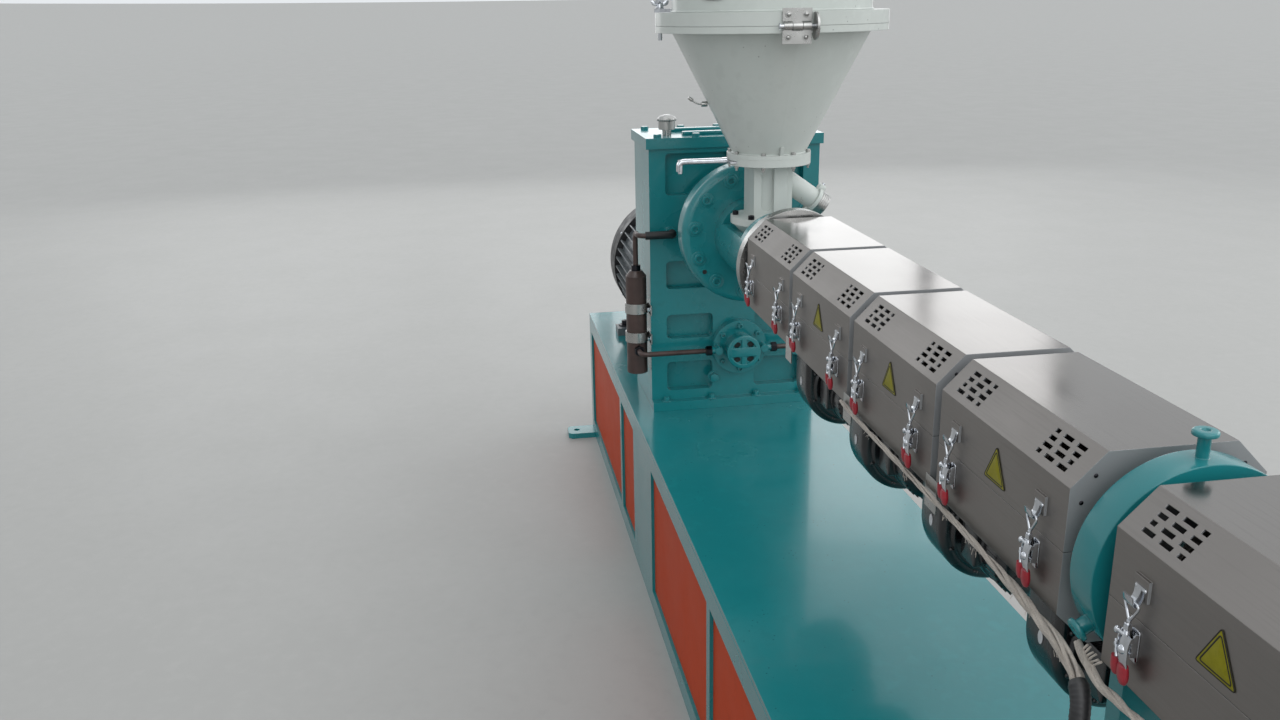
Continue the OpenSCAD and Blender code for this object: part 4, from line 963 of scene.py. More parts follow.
def loom_route():
    """The loom's middle line below the covers and down to its gland, and its width along it."""
    gland = middle("loom_gland")
    points = np.array([
        [0.640, -0.117, 0.931], [0.700, -0.1175, 0.928], [0.780, -0.118, 0.927], [0.870, -0.1185, 0.927],
        [0.945, -0.119, 0.9265], [1.014, -0.119, 0.926], [1.076, -0.1195, 0.926], [1.130, -0.120, 0.925],
        [1.200, -0.120, 0.922], [1.248, -0.120, 0.920], [1.293, -0.121, 0.917], [1.328, -0.122, 0.914],
        [1.353, -0.123, 0.909], [1.374, -0.1245, 0.902], [1.392, -0.128, 0.888], [1.402, -0.133, 0.866],
        [1.409, -0.138, 0.820], [1.415, -0.144, 0.720], [gland[0], gland[1] + 0.001, 0.600],
        [gland[0], gland[1], DECK_Z + 0.024]])
    known, widths = [0, 7, 9, 13, len(points) - 1], [0.0075, 0.0085, 0.0135, 0.0165, 0.0165]
    width = np.interp(np.arange(len(points)), known, widths)
    return flowing(points, LOOM_STEPS), flowing(width[:, None], LOOM_STEPS)[:, 0]


def strands(route, width, count, pitch, thick, phase=0.0):
    """Sleeved wires laid round a route.

    Strand k winds at angle 2 pi k / n + 2 pi s / pitch, with a slow sway, at a share of the loom's
    width from the route, and rounds to a point at both ends. Each point also keeps its place on
    the straightened strand.
    """
    ahead = unit(np.gradient(route, axis=0))
    u = unit(np.cross([0.0, 1.0, 0.0], ahead))
    v = np.cross(ahead, u)
    run = np.concatenate([[0], np.cumsum(np.linalg.norm(np.diff(route, axis=0), axis=1))])
    a = np.arange(STRAND_SIDES) * 2 * np.pi / STRAND_SIDES
    shapes, runs = [], []
    for k in range(count):
        angle = 2 * np.pi * (k / count + run / pitch) + phase + 0.9 * np.sin(run * 13 + 1.7 * k)
        off = width * (0.5 - thick) * (1 - 0.16 * (1 + np.sin(run * 23 + 2.3 * k)))
        path = route + off[:, None] * (np.cos(angle)[:, None] * u + np.sin(angle)[:, None] * v)
        size = width * thick * (1 + 0.14 * np.sin(run * 31 + 0.9 * k))
        shapes.append(swept(path, oval(1.0, 0.82, STRAND_SIDES), (0, 1, 0), size, angle))
        length = (np.concatenate([[run[0]], run, [run[-1]]]) + 0.37 * k)[:, None]
        wide = np.concatenate([[0.0], size, [0.0]])[:, None]
        runs.append(np.stack([length + 0 * a, wide * np.cos(a), wide * np.sin(a)], -1).reshape(-1, 3))
    return joined(*shapes), np.vstack(runs)


def frayed_ends(route):
    """Frayed glass fibres that stand off the loom, six at each of nine places along it."""
    fibre, n = 0.0003, np.arange(6)
    frays = []
    for k, x in enumerate((0.78, 0.93, 1.06, 1.125, 1.142, 1.24, 1.275, 1.345, 1.353)):
        at = route[np.argmin(np.abs(route[:, 0] - x))]
        foot = at + np.stack([0.003 * n * np.sin(n + k), 0 * n - 0.0055, 0.004 * np.sin(2.1 * n + k)], -1)
        reach = np.stack([0.008 + 0.005 * np.sin(2.3 * n + k), -0.0040 - 0.002 * np.cos(1.7 * n + k),
                          0.001 + 0.005 * np.sin(3.1 * n + 2 * k)], -1)
        frays += [rod(root, tip, fibre, 5) for root, tip in zip(foot, foot + reach)]
    frays = joined(*frays)
    add("frayed_sleeve_ends", frays, "sleeve", run=frays[0])


def last_wire_ends():
    """The last zone's six wires going up to its tray."""
    tails = []
    for k in range(6):
        foot = np.array([1.3660 + 0.0040 * k, -0.1145, 0.9195 - 0.0012 * k])
        tip = foot + [0.003 + 0.001 * k, 0.003, 0.012 + 0.002 * (k % 2)]
        bend = flowing([foot, foot + [0.001, 0.000, 0.006], tip], 5)
        size = 0.0012 + 0.0002 * np.sin(np.arange(len(bend)) + k)
        tails.append(swept(bend, oval(1.0, 1.0, STRAND_SIDES), (0, 1, 0), size))
    tails = joined(*tails)
    add("last_zone_wire_ends", tails, "sleeve", run=tails[0])


def last_zone_branch():
    """The middle line of the wires that leave the loom for the last cover's tray."""
    tray = COVER_X[-1][0]
    start = [[1.352, -0.112, 0.922], [1.372, -0.116, 0.919]]
    along = [[0.012, -0.118, 0.912], [0.05, -0.117, 0.912], [0.12, -0.116, 0.914], [0.19, -0.116, 0.915],
             [0.24, -0.113, 0.917], [0.262, -0.104, 0.921]]
    return flowing(np.vstack([start, np.array(along) + [tray, 0, 0]]), 12)


def wire_loom(s):
    """The loom's outer and inner wires, its black sleeve, the last zone's branch and the gland's nut."""
    route, width = loom_route()
    wires, run = strands(route, width, s.strand_count, s.lay_length, 0.155)
    add("sleeved_wires", wires, "sleeve", stands_for=["wire_loom"], angle=60, run=run)
    core, run = strands(route, width, 3, s.lay_length * 0.7, 0.20, 0.4)
    add("loom_core_wires", core, "sleeve", angle=60, run=run)
    path = route[SLEEVE_START:]
    t = np.linspace(0, 1, len(path))
    wave = 0.0003 * np.sin(np.arange(len(t)) * 2.1)
    radius = np.interp(t, [0, 0.04, 0.2, 1], [0.0085, 0.0105, 0.0100, 0.0098]) + wave
    add("black_loom_sleeve", swept(path, oval(1.0, 1.0, 20), (0, 1, 0), radius), "stove", angle=60)
    branch = last_zone_branch()
    wires, run = strands(branch, np.full(len(branch), 0.0115), 4, 0.12, 0.27)
    add("last_zone_wires", wires, "sleeve", angle=60, run=run)
    frayed_ends(route)
    last_wire_ends()
    gland = middle("loom_gland")
    bore, rim, tall = 0.0105, 0.0165, 0.016
    collar = softened([[bore, 0], [rim, 0], [rim, 0.010], [0.0125, tall], [bore, tall]], 0.002, 3, loop=True)
    nut = set_out(turned(collar, 32, loop=True), [gland[0], gland[1], high("loom_gland")[2]])
    add("loom_gland_nut", nut, "stove")


# Gearbox, oil lines and bearing housing


def bearing_bolts(s):
    """Socket bolts on raised bosses round the bearing housing's flange, and a dark disc of painted shade for
    one open tapped hole.
    """
    places = at_x(BEARING_X, circle_of(12, s.bearing_circle / 2, -7.9) + [0, AXIS_Z])
    rise = 0.0022
    boss = turned(softened([[0, -0.001], [0.0190, -0.001], [0.0182, rise], [0, rise]], 0.0008, 3), 24)
    add("bearing_bosses", set_out(boss, places, TO_DIE), "teal")
    sunk = set_out(socket_bolt(s.bearing_bolt), [0, 0, -s.bearing_bolt * 0.38])
    add("bearing_bolts", set_out(sunk, places + [rise, 0, 0], TO_DIE), "teal")
    # Painted shade: a shallow stove-black cap stands in for the shade inside an open tapped hole.
    hole = turned([[0, 0], [0.0058, 0], [0.0052, 0.0012], [0, 0.0006]], 20)
    spot = at_x(BEARING_X, circle_of(1, 0.149, 217) + [0, AXIS_Z])
    add("bearing_grease_hole", set_out(hole, spot, TO_DIE), "stove")


def gearbox_bolts(s):
    """Bolts and strips on the top cover, bolts along the foot, the pump's bolts and the drain plug."""
    lid = np.linspace(GEAR_LOW[1] + 0.035, GEAR_HIGH[1] - 0.035, 5)
    rows = [[x, y, GEAR_HIGH[2]] for x in (GEAR_LOW[0] + 0.024, GEAR_HIGH[0] - 0.024) for y in lid]
    sunk = set_out(hex_bolt(s.lid_bolt), [0, 0, -s.lid_bolt * 0.35])
    add("gearbox_lid_bolts", set_out(sunk, rows), "teal")
    near, far = low("gearbox_housing"), high("gearbox_housing")
    feet = [[x, y, near[2] + 0.026] for x in (near[0] + 0.012, far[0] - 0.012)
            for y in np.linspace(near[1] + 0.04, far[1] - 0.04, 4)]
    add("gearbox_foot_bolts", set_out(hex_bolt(s.lid_bolt * 0.8), feet), "teal")
    strip = slab(oblong(0.026, 0.150, 0.006), 0.009, 0.002, 3)
    strips = np.array([[-0.070, 0.185], [-0.165, 0.165]]) + [GEAR_HIGH[0], GEAR_LOW[1]]
    add("gearbox_lid_strips", set_out(strip, at_z(GEAR_HIGH[2] - 0.0005, strips)), "teal")
    a = np.radians([90, 142, 38, 270, 218, 322])
    ring = PUMP + 0.062 * np.stack([np.cos(a), np.sin(a)], -1)
    add("pump_flange_bolts", set_out(socket_bolt(0.015), at_x(PUMP_X, ring), TO_DIE), "teal")
    thick = 0.003
    washer = turned([[0, 0], [0.017, 0], [0.017, thick], [0, thick]], 24)
    plug = joined(washer, set_out(hex_bolt(0.022, False), [0, 0, thick]))
    add("gearbox_drain_plug", set_out(plug, [GEAR_X, -0.037, 0.546], TO_DIE), "teal")


def pump_cap():
    """The raised rim and the cross of the oil pump's cap, and near-black ovals of painted shade for its four
    hollows.
    """
    x, back, bore, rise = high("oil_pump")[0], -0.012, 0.0350, 0.0045
    rim = softened([[bore, back], [0.0470, back], [0.0470, 0.0035], [0.0380, rise], [bore, rise]],
                   0.0015, 3, loop=True)
    bar = slab(oblong(0.076, 0.026, 0.004), 0.0050, 0.0014, 3)
    post = slab(oblong(0.014, 0.076, 0.003), 0.0042, 0.0012, 3)
    ribs = joined(turned(rim, 48, loop=True), bar, post)
    add("pump_cap_ribs", set_out(ribs, [x, *PUMP], TO_DIE), "teal")
    # Painted shade: thin near-black ovals on the cap's face stand in for the shade in its four hollows.
    hollow = slab(oval(0.0095, 0.0070, 20), 0.0006, 0.0002, 1)
    side, up = 0.0185, 0.0215
    dots = PUMP + np.array([[-side, up], [side, up], [-side, -up], [side, -up]])
    add("pump_cap_hollows", set_out(hollow, at_x(x, dots), TO_DIE), "hollow")


def breather_cap():
    """The breather's mushroom cap with a ribbed skirt."""
    b, top = middle("breather"), high("breather")[2]
    cap = turned(softened([[0, -0.010], [0.016, -0.010], [0.016, 0.000], [0.025, 0.001], [0.0255, 0.006],
                           [0.019, 0.013], [0.008, 0.016], [0, 0.016]], 0.003, 4), 40)
    rib = brick([0.0016, 0.0026, 0.006], [0, 0, 0], 0.0005)
    skirt = at_z(top + 0.0035, circle_of(24, 0.0252) + b[:2])
    ribs = set_out(rib, skirt, turn_z(np.radians(np.arange(24) * 15.0)))
    add("breather_cap", joined(set_out(cap, [b[0], b[1], top]), ribs), "steel")


def oil_lines(s):
    """The oil pipes as bent tubes on the solid pipes' lines, with nuts and a black hose end."""
    r = s.pipe / 2
    section = oval(r, r, 16)
    x, reach, far = PUMP_X + 0.016, PUMP_REACH - 0.004, high("oil_pipes")[1] - r
    port_y, z = PUMP
    cooler_r = (high("oil_cooler")[0] - low("oil_cooler")[0]) / 2
    left = [[x, port_y - reach, z], [x, COOLER[1], z], [COOLER[0] + cooler_r, COOLER[1], z]]
    right = [[x, port_y + reach, z], [x, far, z], [GEAR_X, far, z]]
    y, low_z, lean = -0.156, AXIS_Z - 0.039, (0.3, 0.4, 1.0)
    hose = softened([[GEAR_X + 0.014, y, low_z], [PUMP_X, y, low_z], [PUMP_X, COOLER[1], low_z],
                     [COOLER[0], COOLER[1], low_z], [COOLER[0], COOLER[1], high("oil_cooler")[2]]], 0.024, 8)
    tubes = [swept(softened(line, 0.022, 8), section) for line in (left, right)]
    tubes.append(swept(hose, section, lean))
    add("oil_tubes", joined(*tubes), "cooler", stands_for=["oil_pipes"], angle=60)
    nut = hex_bolt(0.024, False)
    nuts = joined(set_out(nut, left[0], TO_LATCHES), set_out(nut, right[0], TO_HINGES),
                  set_out(nut, [left[-1], right[-1]], TO_DIE), set_out(nut, hose[-1], UP))
    add("oil_tube_nuts", nuts, "oxide")
    sleeve = swept(hose[: len(hose) // 2 - 2], oval(0.0108, 0.0108, 18), lean)
    band = turned(np.array([0.0116, 0]) + oval(0.0012, 0.0035, 8), 24, loop=True)
    end = joined(sleeve, set_out(band, [GEAR_X + 0.018, y, low_z], TO_DIE))
    add("oil_hose_end", end, "stove", angle=60)
    straps = low("cooler_straps")[2] + 0.014, high("cooler_straps")[2] - 0.014
    ears = [[side * 0.0395 + COOLER[0], COOLER[1] + cooler_r + 0.003, height]
            for side in (-1, 1) for height in straps]
    add("cooler_strap_bolts", set_out(hex_bolt(0.010), ears, TO_LATCHES), "zinc")


# Motor and coupling


def fan_grille():
    """The fan cowl's grille: seven rings, eight spokes and a hub."""
    wires = [turned(np.array([r, 0.0]) + oval(0.0028, 0.0028, 8), 64, loop=True)
             for r in np.linspace(0.045, 0.165, 7)]
    spoke = swept([[0.030, 0, 0.0015], [0.100, 0, 0.0015], [0.172, 0, 0.0015]], oval(0.003, 0.003, 8))
    wires.append(set_out(spoke, np.zeros((8, 3)), turn_z(np.arange(8) * np.pi / 4)))
    hub = turned(softened([[0, -0.001], [0.034, -0.001], [0.032, 0.004], [0, 0.005]], 0.001, 3), 32)
    grille = set_out(joined(*wires, hub), [low("motor_cowl")[0] + 0.0032, *MOTOR[1:]], TO_GEARBOX)
    add("motor_fan_grille", grille, "zinc", angle=50)


def motor_dressing():
    """The motor's lifting eye, its box's lid, and the bolts of its bell, feet and cowl."""
    near, far = low("motor_body"), high("motor_body")
    y, z = MOTOR[1:]
    x, top, eye_r = near[0] + 0.15, z + (far[1] - y), 0.021
    t = np.arange(40) * 2 * np.pi / 40
    eye = swept(np.stack([eye_r * np.cos(t), 0 * t, eye_r * np.sin(t)], -1), oval(0.006, 0.006, 12),
                (0, 1, 0), loop=True)
    stem = turned(softened([[0, -0.020], [0.012, -0.020], [0.012, 0.004], [0.008, 0.010], [0, 0.010]],
                           0.002, 3), 20)
    lift = joined(set_out(eye, [x, y, top + 0.026]), set_out(stem, [x, y, top]))
    add("motor_lifting_eye", lift, "zinc", angle=60)
    box_low, box_high = low("motor_terminal_box"), high("motor_terminal_box")
    mid, size, inset = (box_low + box_high) / 2, box_high - box_low, 0.014
    lid = slab(oblong(size[0] - 0.004, size[1] - 0.004, 0.010), 0.008, 0.002, 3)
    add("terminal_box_lid", set_out(lid, [mid[0], mid[1], box_high[2] - 0.002]), "stove")
    spots = [[mid[0] + i * (size[0] / 2 - inset), mid[1] + j * (size[1] / 2 - inset), box_high[2] + 0.006]
             for i in (-1, 1) for j in (-1, 1)]
    add("terminal_box_screws", set_out(dome(0.009, 0.004), spots), "zinc")
    bell_r, foot_side, cowl_r = 0.183, 0.195, 0.2185
    bell = at_x(far[0], circle_of(8, bell_r, 22.5) + [y, z])
    add("motor_bell_bolts", set_out(hex_bolt(0.016), bell, TO_DIE), "oxide")
    feet = [[near[0] + along, y + side * foot_side, DECK_Z + 0.026]
            for along in (0.060, 0.390) for side in (-1, 1)]
    add("motor_foot_bolts", set_out(hex_bolt(0.022), feet, UP), "oxide")
    cowl = at_x(high("motor_cowl")[0] - 0.02, circle_of(6, cowl_r, 30) + [y, z])
    outwards = facing(unit(cowl - [cowl[0][0], y, z]))
    add("motor_cowl_screws", set_out(dome(0.010, 0.003), cowl, outwards), "zinc")


def coupling_dressing():
    """Bands and screws at both ends of the coupling's guard."""
    a, b = low("coupling_guard"), high("coupling_guard")
    y, z, r = (a[1] + b[1]) / 2, (a[2] + b[2]) / 2, (b[1] - a[1]) / 2
    inner, outer, wide = r - 0.001, r + 0.0025, 0.014
    band = turned([[inner, 0], [outer, 0], [outer, wide], [inner, wide]], 64, loop=True)
    add("guard_bands", set_out(band, [[a[0] + 0.004, y, z], [b[0] - 0.018, y, z]], TO_DIE), "orange")
    ring = circle_of(6, outer, 30) + [y, z]
    spots = np.vstack([at_x(a[0] + 0.011, ring), at_x(b[0] - 0.011, ring)])
    centre = spots * [1, 0, 0] + [0, y, z]
    add("guard_screws", set_out(dome(0.009, 0.003), spots, facing(unit(spots - centre))), "zinc")


# Feed throat and hopper


def throat_bolts(s):
    """Bolts and nuts through the throat's double flange, socket bolts in its foot, and the cone's rib."""
    ring = at_z(0.0, circle_of(8, s.throat_circle / 2, 22.5) + HOPPER)
    top, under = low("hopper_cone")[2] + 0.010, high("throat_column")[2] - 0.016
    nut = hex_bolt(0.0085, False)
    tails = [rod(p + [0, 0, under - 0.011], p + [0, 0, under], 0.0028, 10) for p in ring]
    bolts = joined(set_out(nut, ring + [0, 0, top], UP), set_out(nut, ring + [0, 0, under], DOWN), *tails)
    add("throat_flange_bolts", bolts, "steel")
    foot = at_z(low("throat_column")[2] + 0.034, circle_of(6, 0.0745, -105) + HOPPER)
    add("throat_foot_bolts", set_out(socket_bolt(0.0145), foot, UP), "oxide")
    rib = slab([[0, 0], [0.011, 0], [0.0175, 0.021], [0.0105, 0.021]], 0.008, 0.0012, 2)
    add("cone_rib", set_out(rib, [HOPPER[0] + 0.0835, 0.008, top - 0.001], ON_EDGE), "cream")


def drain_dressing():
    """Two clips on the drain's flange, and the ribs of its steel cap."""
    tilt, root = np.radians(35), [HOPPER[0], 0.045, AXIS_Z + 0.151]
    way, up = np.array([0, np.cos(tilt), -np.sin(tilt)]), np.array([0, np.sin(tilt), np.cos(tilt)])
    turn = np.stack([np.cross(up, way), up, way], -1)
    outline = softened([[-0.008, 0.020], [0.008, 0.020], [0.010, 0.031], [0.007, 0.040], [-0.007, 0.040],
                        [-0.010, 0.031]], 0.004, 4, loop=True)
    half_turn = np.diag([-1.0, -1.0, 1.0])
    clips = set_out(slab(outline, 0.018, 0.003, 3), [[0, 0, 0.071]] * 2, [np.eye(3), half_turn])
    add("drain_clips", set_out(clips, root, turn), "cream")
    screws = set_out(socket_bolt(0.008), [[0, 0.039, 0.080], [0, -0.039, 0.080]], [TO_HINGES, TO_LATCHES])
    add("drain_clip_screws", set_out(screws, root, turn), "zinc")
    ring = turned(np.array([0.0268, 0]) + oval(0.0013, 0.0020, 8), 48, loop=True)
    ribs = set_out(ring, [[0, 0, 0.085 + z] for z in (0.005, 0.010, 0.015, 0.020)])
    add("drain_cap_ribs", set_out(ribs, root, turn), "steel")


def gate_handle():
    """A flat steel bar along the slide gate's rod, with its end bent down."""
    y, x = low("slide_gate")[1] + 0.003, middle("slide_gate")[0] - 0.0002
    z, drop, reach = high("slide_gate")[2] - 0.005, 0.021, 0.109
    bend = softened([[y, z - drop], [y, z], [y + reach, z]], 0.012, 8)
    bar = swept(at_x(x, bend), oblong(0.0125, 0.0185, 0.004, 4), (1, 0, 0))
    add("slide_gate_bar", bar, "zinc", "gate", angle=50)


def hinge_dressing(s):
    """Bolts on the hinge's leaves, and the pin's stop disc on the side away from the latches."""
    out = np.array([np.cos(HINGE_TURN), np.sin(HINGE_TURN), 0])
    side = np.array([-out[1], out[0], 0])
    centre = np.array([*HOPPER, RIM_Z])
    leaf, pin = centre + out * (RIM_R + LEAF_GAP + LEAF_THICK), centre + out * (RIM_R + 2 * LEAF_THICK)
    washer, head = turned([[0, 0], [0.0068, 0], [0.0066, 0.0012], [0, 0.0012]], 20), dome(0.0092, 0.0042)
    for name, body, z in (("cone", "root", -0.0215), ("drum", "drum", 0.0225)):
        spots = np.array([leaf + side * y + [0, 0, z] for y in (-0.018, 0.018)])
        heads = joined(set_out(washer, spots, facing(out)), set_out(head, spots + out * 0.001, facing(out)))
        add(f"hinge_bolts_{name}", heads, "steel", body)
    r, thick = s.disc / 2, 0.0050
    disc = softened([[0, 0], [r, 0], [r, thick], [r - 0.004, 0.0065], [0.010, thick], [0.010, 0.0090],
                     [0, 0.0090]], 0.001, 3)
    add("hinge_stop_disc", set_out(turned(disc, 48), pin + side * 0.0345, facing(side)), "steel")
    tip = side * 0.0365
    stub = rod(pin - side * 0.0375, pin + tip, 0.0042, 16)
    a = np.linspace(0, 1.6 * np.pi, 20)[:, None]
    ring = pin - tip + 0.006 * (np.cos(a) * out + np.sin(a) * [0, 0, 1])
    clip = swept(ring, oval(0.0010, 0.0010, 8), side)
    add("hinge_pin_and_clip", joined(stub, clip), "zinc", angle=50)


# Steps round a weld ring
RING_STEPS = 240


def weld_ring(radius, z, width):
    """A weld bead round the hopper at a height; the radius is one number, or one for each step."""
    t = np.arange(RING_STEPS) * 2 * np.pi / RING_STEPS
    path = np.stack([HOPPER[0] + radius * np.cos(t), HOPPER[1] + radius * np.sin(t), z + 0 * t], -1)
    return swept(path, oval(width, width, 8), loop=True)


def hopper_seams():
    """Weld beads: one down the drum, one round under each rim and one round the cone's neck."""
    n, turn = np.arange(120), np.radians(152)
    way = np.array([np.cos(turn), np.sin(turn)])
    side = np.array([-way[1], way[0]])
    z = np.linspace(RIM_Z + 0.03, high("hopper_drum")[2] - 0.001, len(n))
    sway = 0.0006 * np.sin(n * 1.9)
    path = np.column_stack([HOPPER + way * DRUM_R + side * sway[:, None], z])
    bead = swept(path, oval(0.0014, 0.0030, 10), (0, 1, 0), 1 + 0.10 * np.sin(n * 1.6))
    add("drum_weld", bead, "cream", "drum")
    wavy = DRUM_R + 0.0004 * np.sin(np.arange(RING_STEPS) * 2 * np.pi / RING_STEPS * 73)
    add("cone_rim_weld", weld_ring(wavy, RIM_Z - 0.0150, 0.0022), "cream")
    add("drum_rim_weld", weld_ring(wavy, RIM_Z + 0.0300, 0.0022), "cream", "drum")
    neck_r, proud = 0.084, 0.0006
    add("cone_neck_weld", weld_ring(neck_r + proud, low("hopper_cone")[2] + 0.0105, 0.0018), "cream")


def wrapped(shape, radius):
    """A flat shape wrapped round an upright cylinder: x is an arc's length there, and r = radius + z."""
    points, faces = shape
    a, r = points[:, 0] / radius, radius + points[:, 2]
    return np.stack([r * np.cos(a), r * np.sin(a), points[:, 1]], -1), faces


def flat_frame(width, height, bar, thick, round_off):
    """A frame lying flat: a bar carried round an oblong, each of whose steps is cut in five."""
    line = softened(oblong(width, height, round_off, 10), 0.001, 2, loop=True)
    share = np.linspace(0, 1, 6)[:-1, None]
    dense = (line[:, None] * (1 - share) + np.roll(line, -1, 0)[:, None] * share).reshape(-1, 2)
    return swept(at_z(thick / 2, dense), oblong(bar, thick, thick * 0.3, 2), loop=True)


def sight_window(s):
    """The level window in the drum's wall: a clear strip in a screwed steel frame."""
    edge, turn, rim_top, gap = 0.006, s.window_turn, 0.0305, 0.035
    z = RIM_Z + rim_top + gap + s.window_height / 2
    at = [*HOPPER, z]
    pane = slab(oblong(s.window_width, s.window_height, 0.012, 6), 0.0022, 0.00066, 2)
    glass = wrapped(pane, DRUM_R - 0.0012)
    add("drum_sight_glass", set_out(glass, at, turn_z(turn)), "glass", "drum", angle=50)
    bars = flat_frame(s.window_width + 2 * edge, s.window_height + 2 * edge, 0.014, 0.003, 0.016)
    add("drum_sight_frame", set_out(wrapped(bars, DRUM_R), at, turn_z(turn)), "stainless", "drum", angle=50)
    flat = np.array([[i * (s.window_width / 2 + edge), j * up] for i in (-1, 1) for j in (-1, 1)
                     for up in (0.02, s.window_height / 2 - 0.02)])
    a = flat[:, 0] / DRUM_R + turn
    way = np.stack([np.cos(a), np.sin(a), 0 * a], -1)
    spots = np.column_stack([HOPPER + (DRUM_R + 0.003) * way[:, :2], z + flat[:, 1]])
    add("drum_sight_screws", set_out(dome(0.006, 0.0022, 12), spots, facing(way)), "zinc", "drum")


def clamp_dressing():
    """Wing nuts and washers on the rim clamps' studs."""
    thick, stud_out, lift = 0.0018, 0.269, 0.0365
    washer = turned([[0, 0], [0.011, 0], [0.011, thick], [0, thick]], 24)
    hub = turned(softened([[0, 0], [0.0095, 0], [0.0075, 0.012], [0, 0.012]], 0.0015, 3), 20)
    wing = softened([[0.004, 0.002], [0.018, 0.006], [0.022, 0.016], [0.015, 0.017], [0.004, 0.010]],
                    0.003, 4, loop=True)
    leaf = slab(wing, 0.0026, 0.0008, 2)
    parts = []
    for turn in (-120.0, 120.0):
        a = HINGE_TURN + np.radians(turn)
        seat = np.array([*HOPPER, RIM_Z]) + np.array([np.cos(a), np.sin(a), 0]) * stud_out + [0, 0, lift]
        nut = seat + [0, 0, thick]
        parts += [set_out(washer, seat), set_out(hub, nut)]
        parts += [set_out(leaf, nut, turn_z(a + spin) @ ON_EDGE) for spin in (0.5, 0.5 + np.pi)]
    add("rim_clamp_wing_nuts", joined(*parts), "zinc")


def sensor_lead():
    """The thin bent tube from the cone's sensor to its small plug."""
    out, up = np.array([np.cos(SENSOR_TURN), np.sin(SENSOR_TURN), 0]), np.array([0, 0, 1.0])
    root = middle("heat_sensor") - out * SENSOR_LENGTH / 2
    collar = rod(root - out * 0.002, root + out * 0.012, 0.0060, 20, 0.001)
    line = [root, root + out * 0.016, root + out * 0.025 + up * 0.003, root + out * 0.032 + up * 0.008]
    run = flowing(line, 8)
    tube = swept(run, oval(0.0018, 0.0018, 12), (1, 0, 0))
    plug = rod(run[-1] - out * 0.001, run[-1] + out * 0.009 + up * 0.007, 0.0038, 14, 0.001)
    add("sensor_tube", joined(collar, tube, plug), "steel", stands_for=["heat_sensor"], angle=50)


# Base, split ring and die flange


def base_seams():
    """Weld beads along both sides of the deck, where it meets the frame."""
    near, far = low("deck_plate"), high("deck_plate")
    n = np.arange(260)
    x = np.linspace(near[0] + 0.01, far[0] - 0.01, len(n))
    z = near[2] - 0.0005 + 0.0005 * np.sin(n * 2.3)
    beads = [swept(np.stack([x, np.full(len(n), side * (far[1] - 0.0012)), z], -1), oval(0.0017, 0.0017, 8))
             for side in (-1, 1)]
    add("deck_welds", joined(*beads), "teal")


def split_ring(s):
    """The ring between the last two covers, and the three screws that clamp it.

    The ring is a turned section. Each screw is a turned stem with a thin rounded head, and its
    socket is a shallow dish in the head's face. Its outer face stands where the solid's does.
    """
    x_low, x_high = low("joint_ring")[0], high("joint_ring")[0]
    outer, inner, deep = s.ring / 2, s.ring_bore / 2, x_high - x_low
    section = softened([[inner, 0], [outer, 0], [outer, deep], [inner, deep]], 0.0012, 3, loop=True)
    parts = [set_out(turned(section, 160, loop=True), [x_low, 0, AXIS_Z], TO_DIE)]
    half, thick, foot = s.ring_head / 2, s.ring_head * 0.22, inner + 0.01
    tallest, others, thin, stout = high("joint_ring")[2] - AXIS_Z, outer + 0.017, 0.0065, 0.0090
    for angle, reach, stem in ((0, tallest, thin), (120, others, stout), (240, others, stout)):
        a = np.radians(angle)
        outline = [[0, foot], [stem, foot], [stem, reach - thick], [half, reach - thick],
                   [half, reach - thick * 0.3], [half * 0.84, reach], [half * 0.34, reach],
                   [half * 0.3, reach - thick * 0.45], [0, reach - thick * 0.45]]
        screw = turned(softened(outline, 0.0012, 3), 40)
        way = np.array([0, -np.sin(a), np.cos(a)])
        parts.append(set_out(screw, [(x_low + x_high) / 2, 0, AXIS_Z], facing(way)))
    add("split_ring", joined(*parts), "teal", stands_for=["joint_ring"], angle=40)


def die_face():
    """The turned face of the die flange: shallow rings round its recess."""
    x = high("die_flange")[0] - 0.0003
    rings = [turned(np.array([r, 0.0]) + oval(0.0004, 0.0003, 6), 96, loop=True)
             for r in (0.052, 0.0990, 0.1020)]
    add("die_face_rings", set_out(joined(*rings), [x, 0, AXIS_Z], TO_DIE), "steel")


# Settings


def length_of(name, words, default):
    """A size setting in metres."""
    return bpy.props.FloatProperty(name=name, description=words, default=default, unit="LENGTH", min=0.0)


def number_of(name, words, default, least):
    """A whole-number setting."""
    return bpy.props.IntProperty(name=name, description=words, default=default, min=least)


def strength_of(name, words, default):
    """A lamp's or the sky's strength."""
    return bpy.props.FloatProperty(name=name, description=words, default=default, min=0.0)


def turn_of(name, words, degrees):
    """An angle setting, given in degrees and kept in radians."""
    return bpy.props.FloatProperty(name=name, description=words, subtype="ANGLE",
                                   default=float(np.radians(degrees)))


def paint(name, words, rgb):
    """A colour setting, given in 0-255 screen values and kept as light."""
    share = np.asarray(rgb) / 255.0
    light = np.where(share <= 0.04045, share / 12.92, ((share + 0.055) / 1.055) ** 2.4)
    return bpy.props.FloatVectorProperty(name=name, description=words, default=tuple(light.tolist()),
                                         size=3, subtype="COLOR", min=0.0, max=1.0)


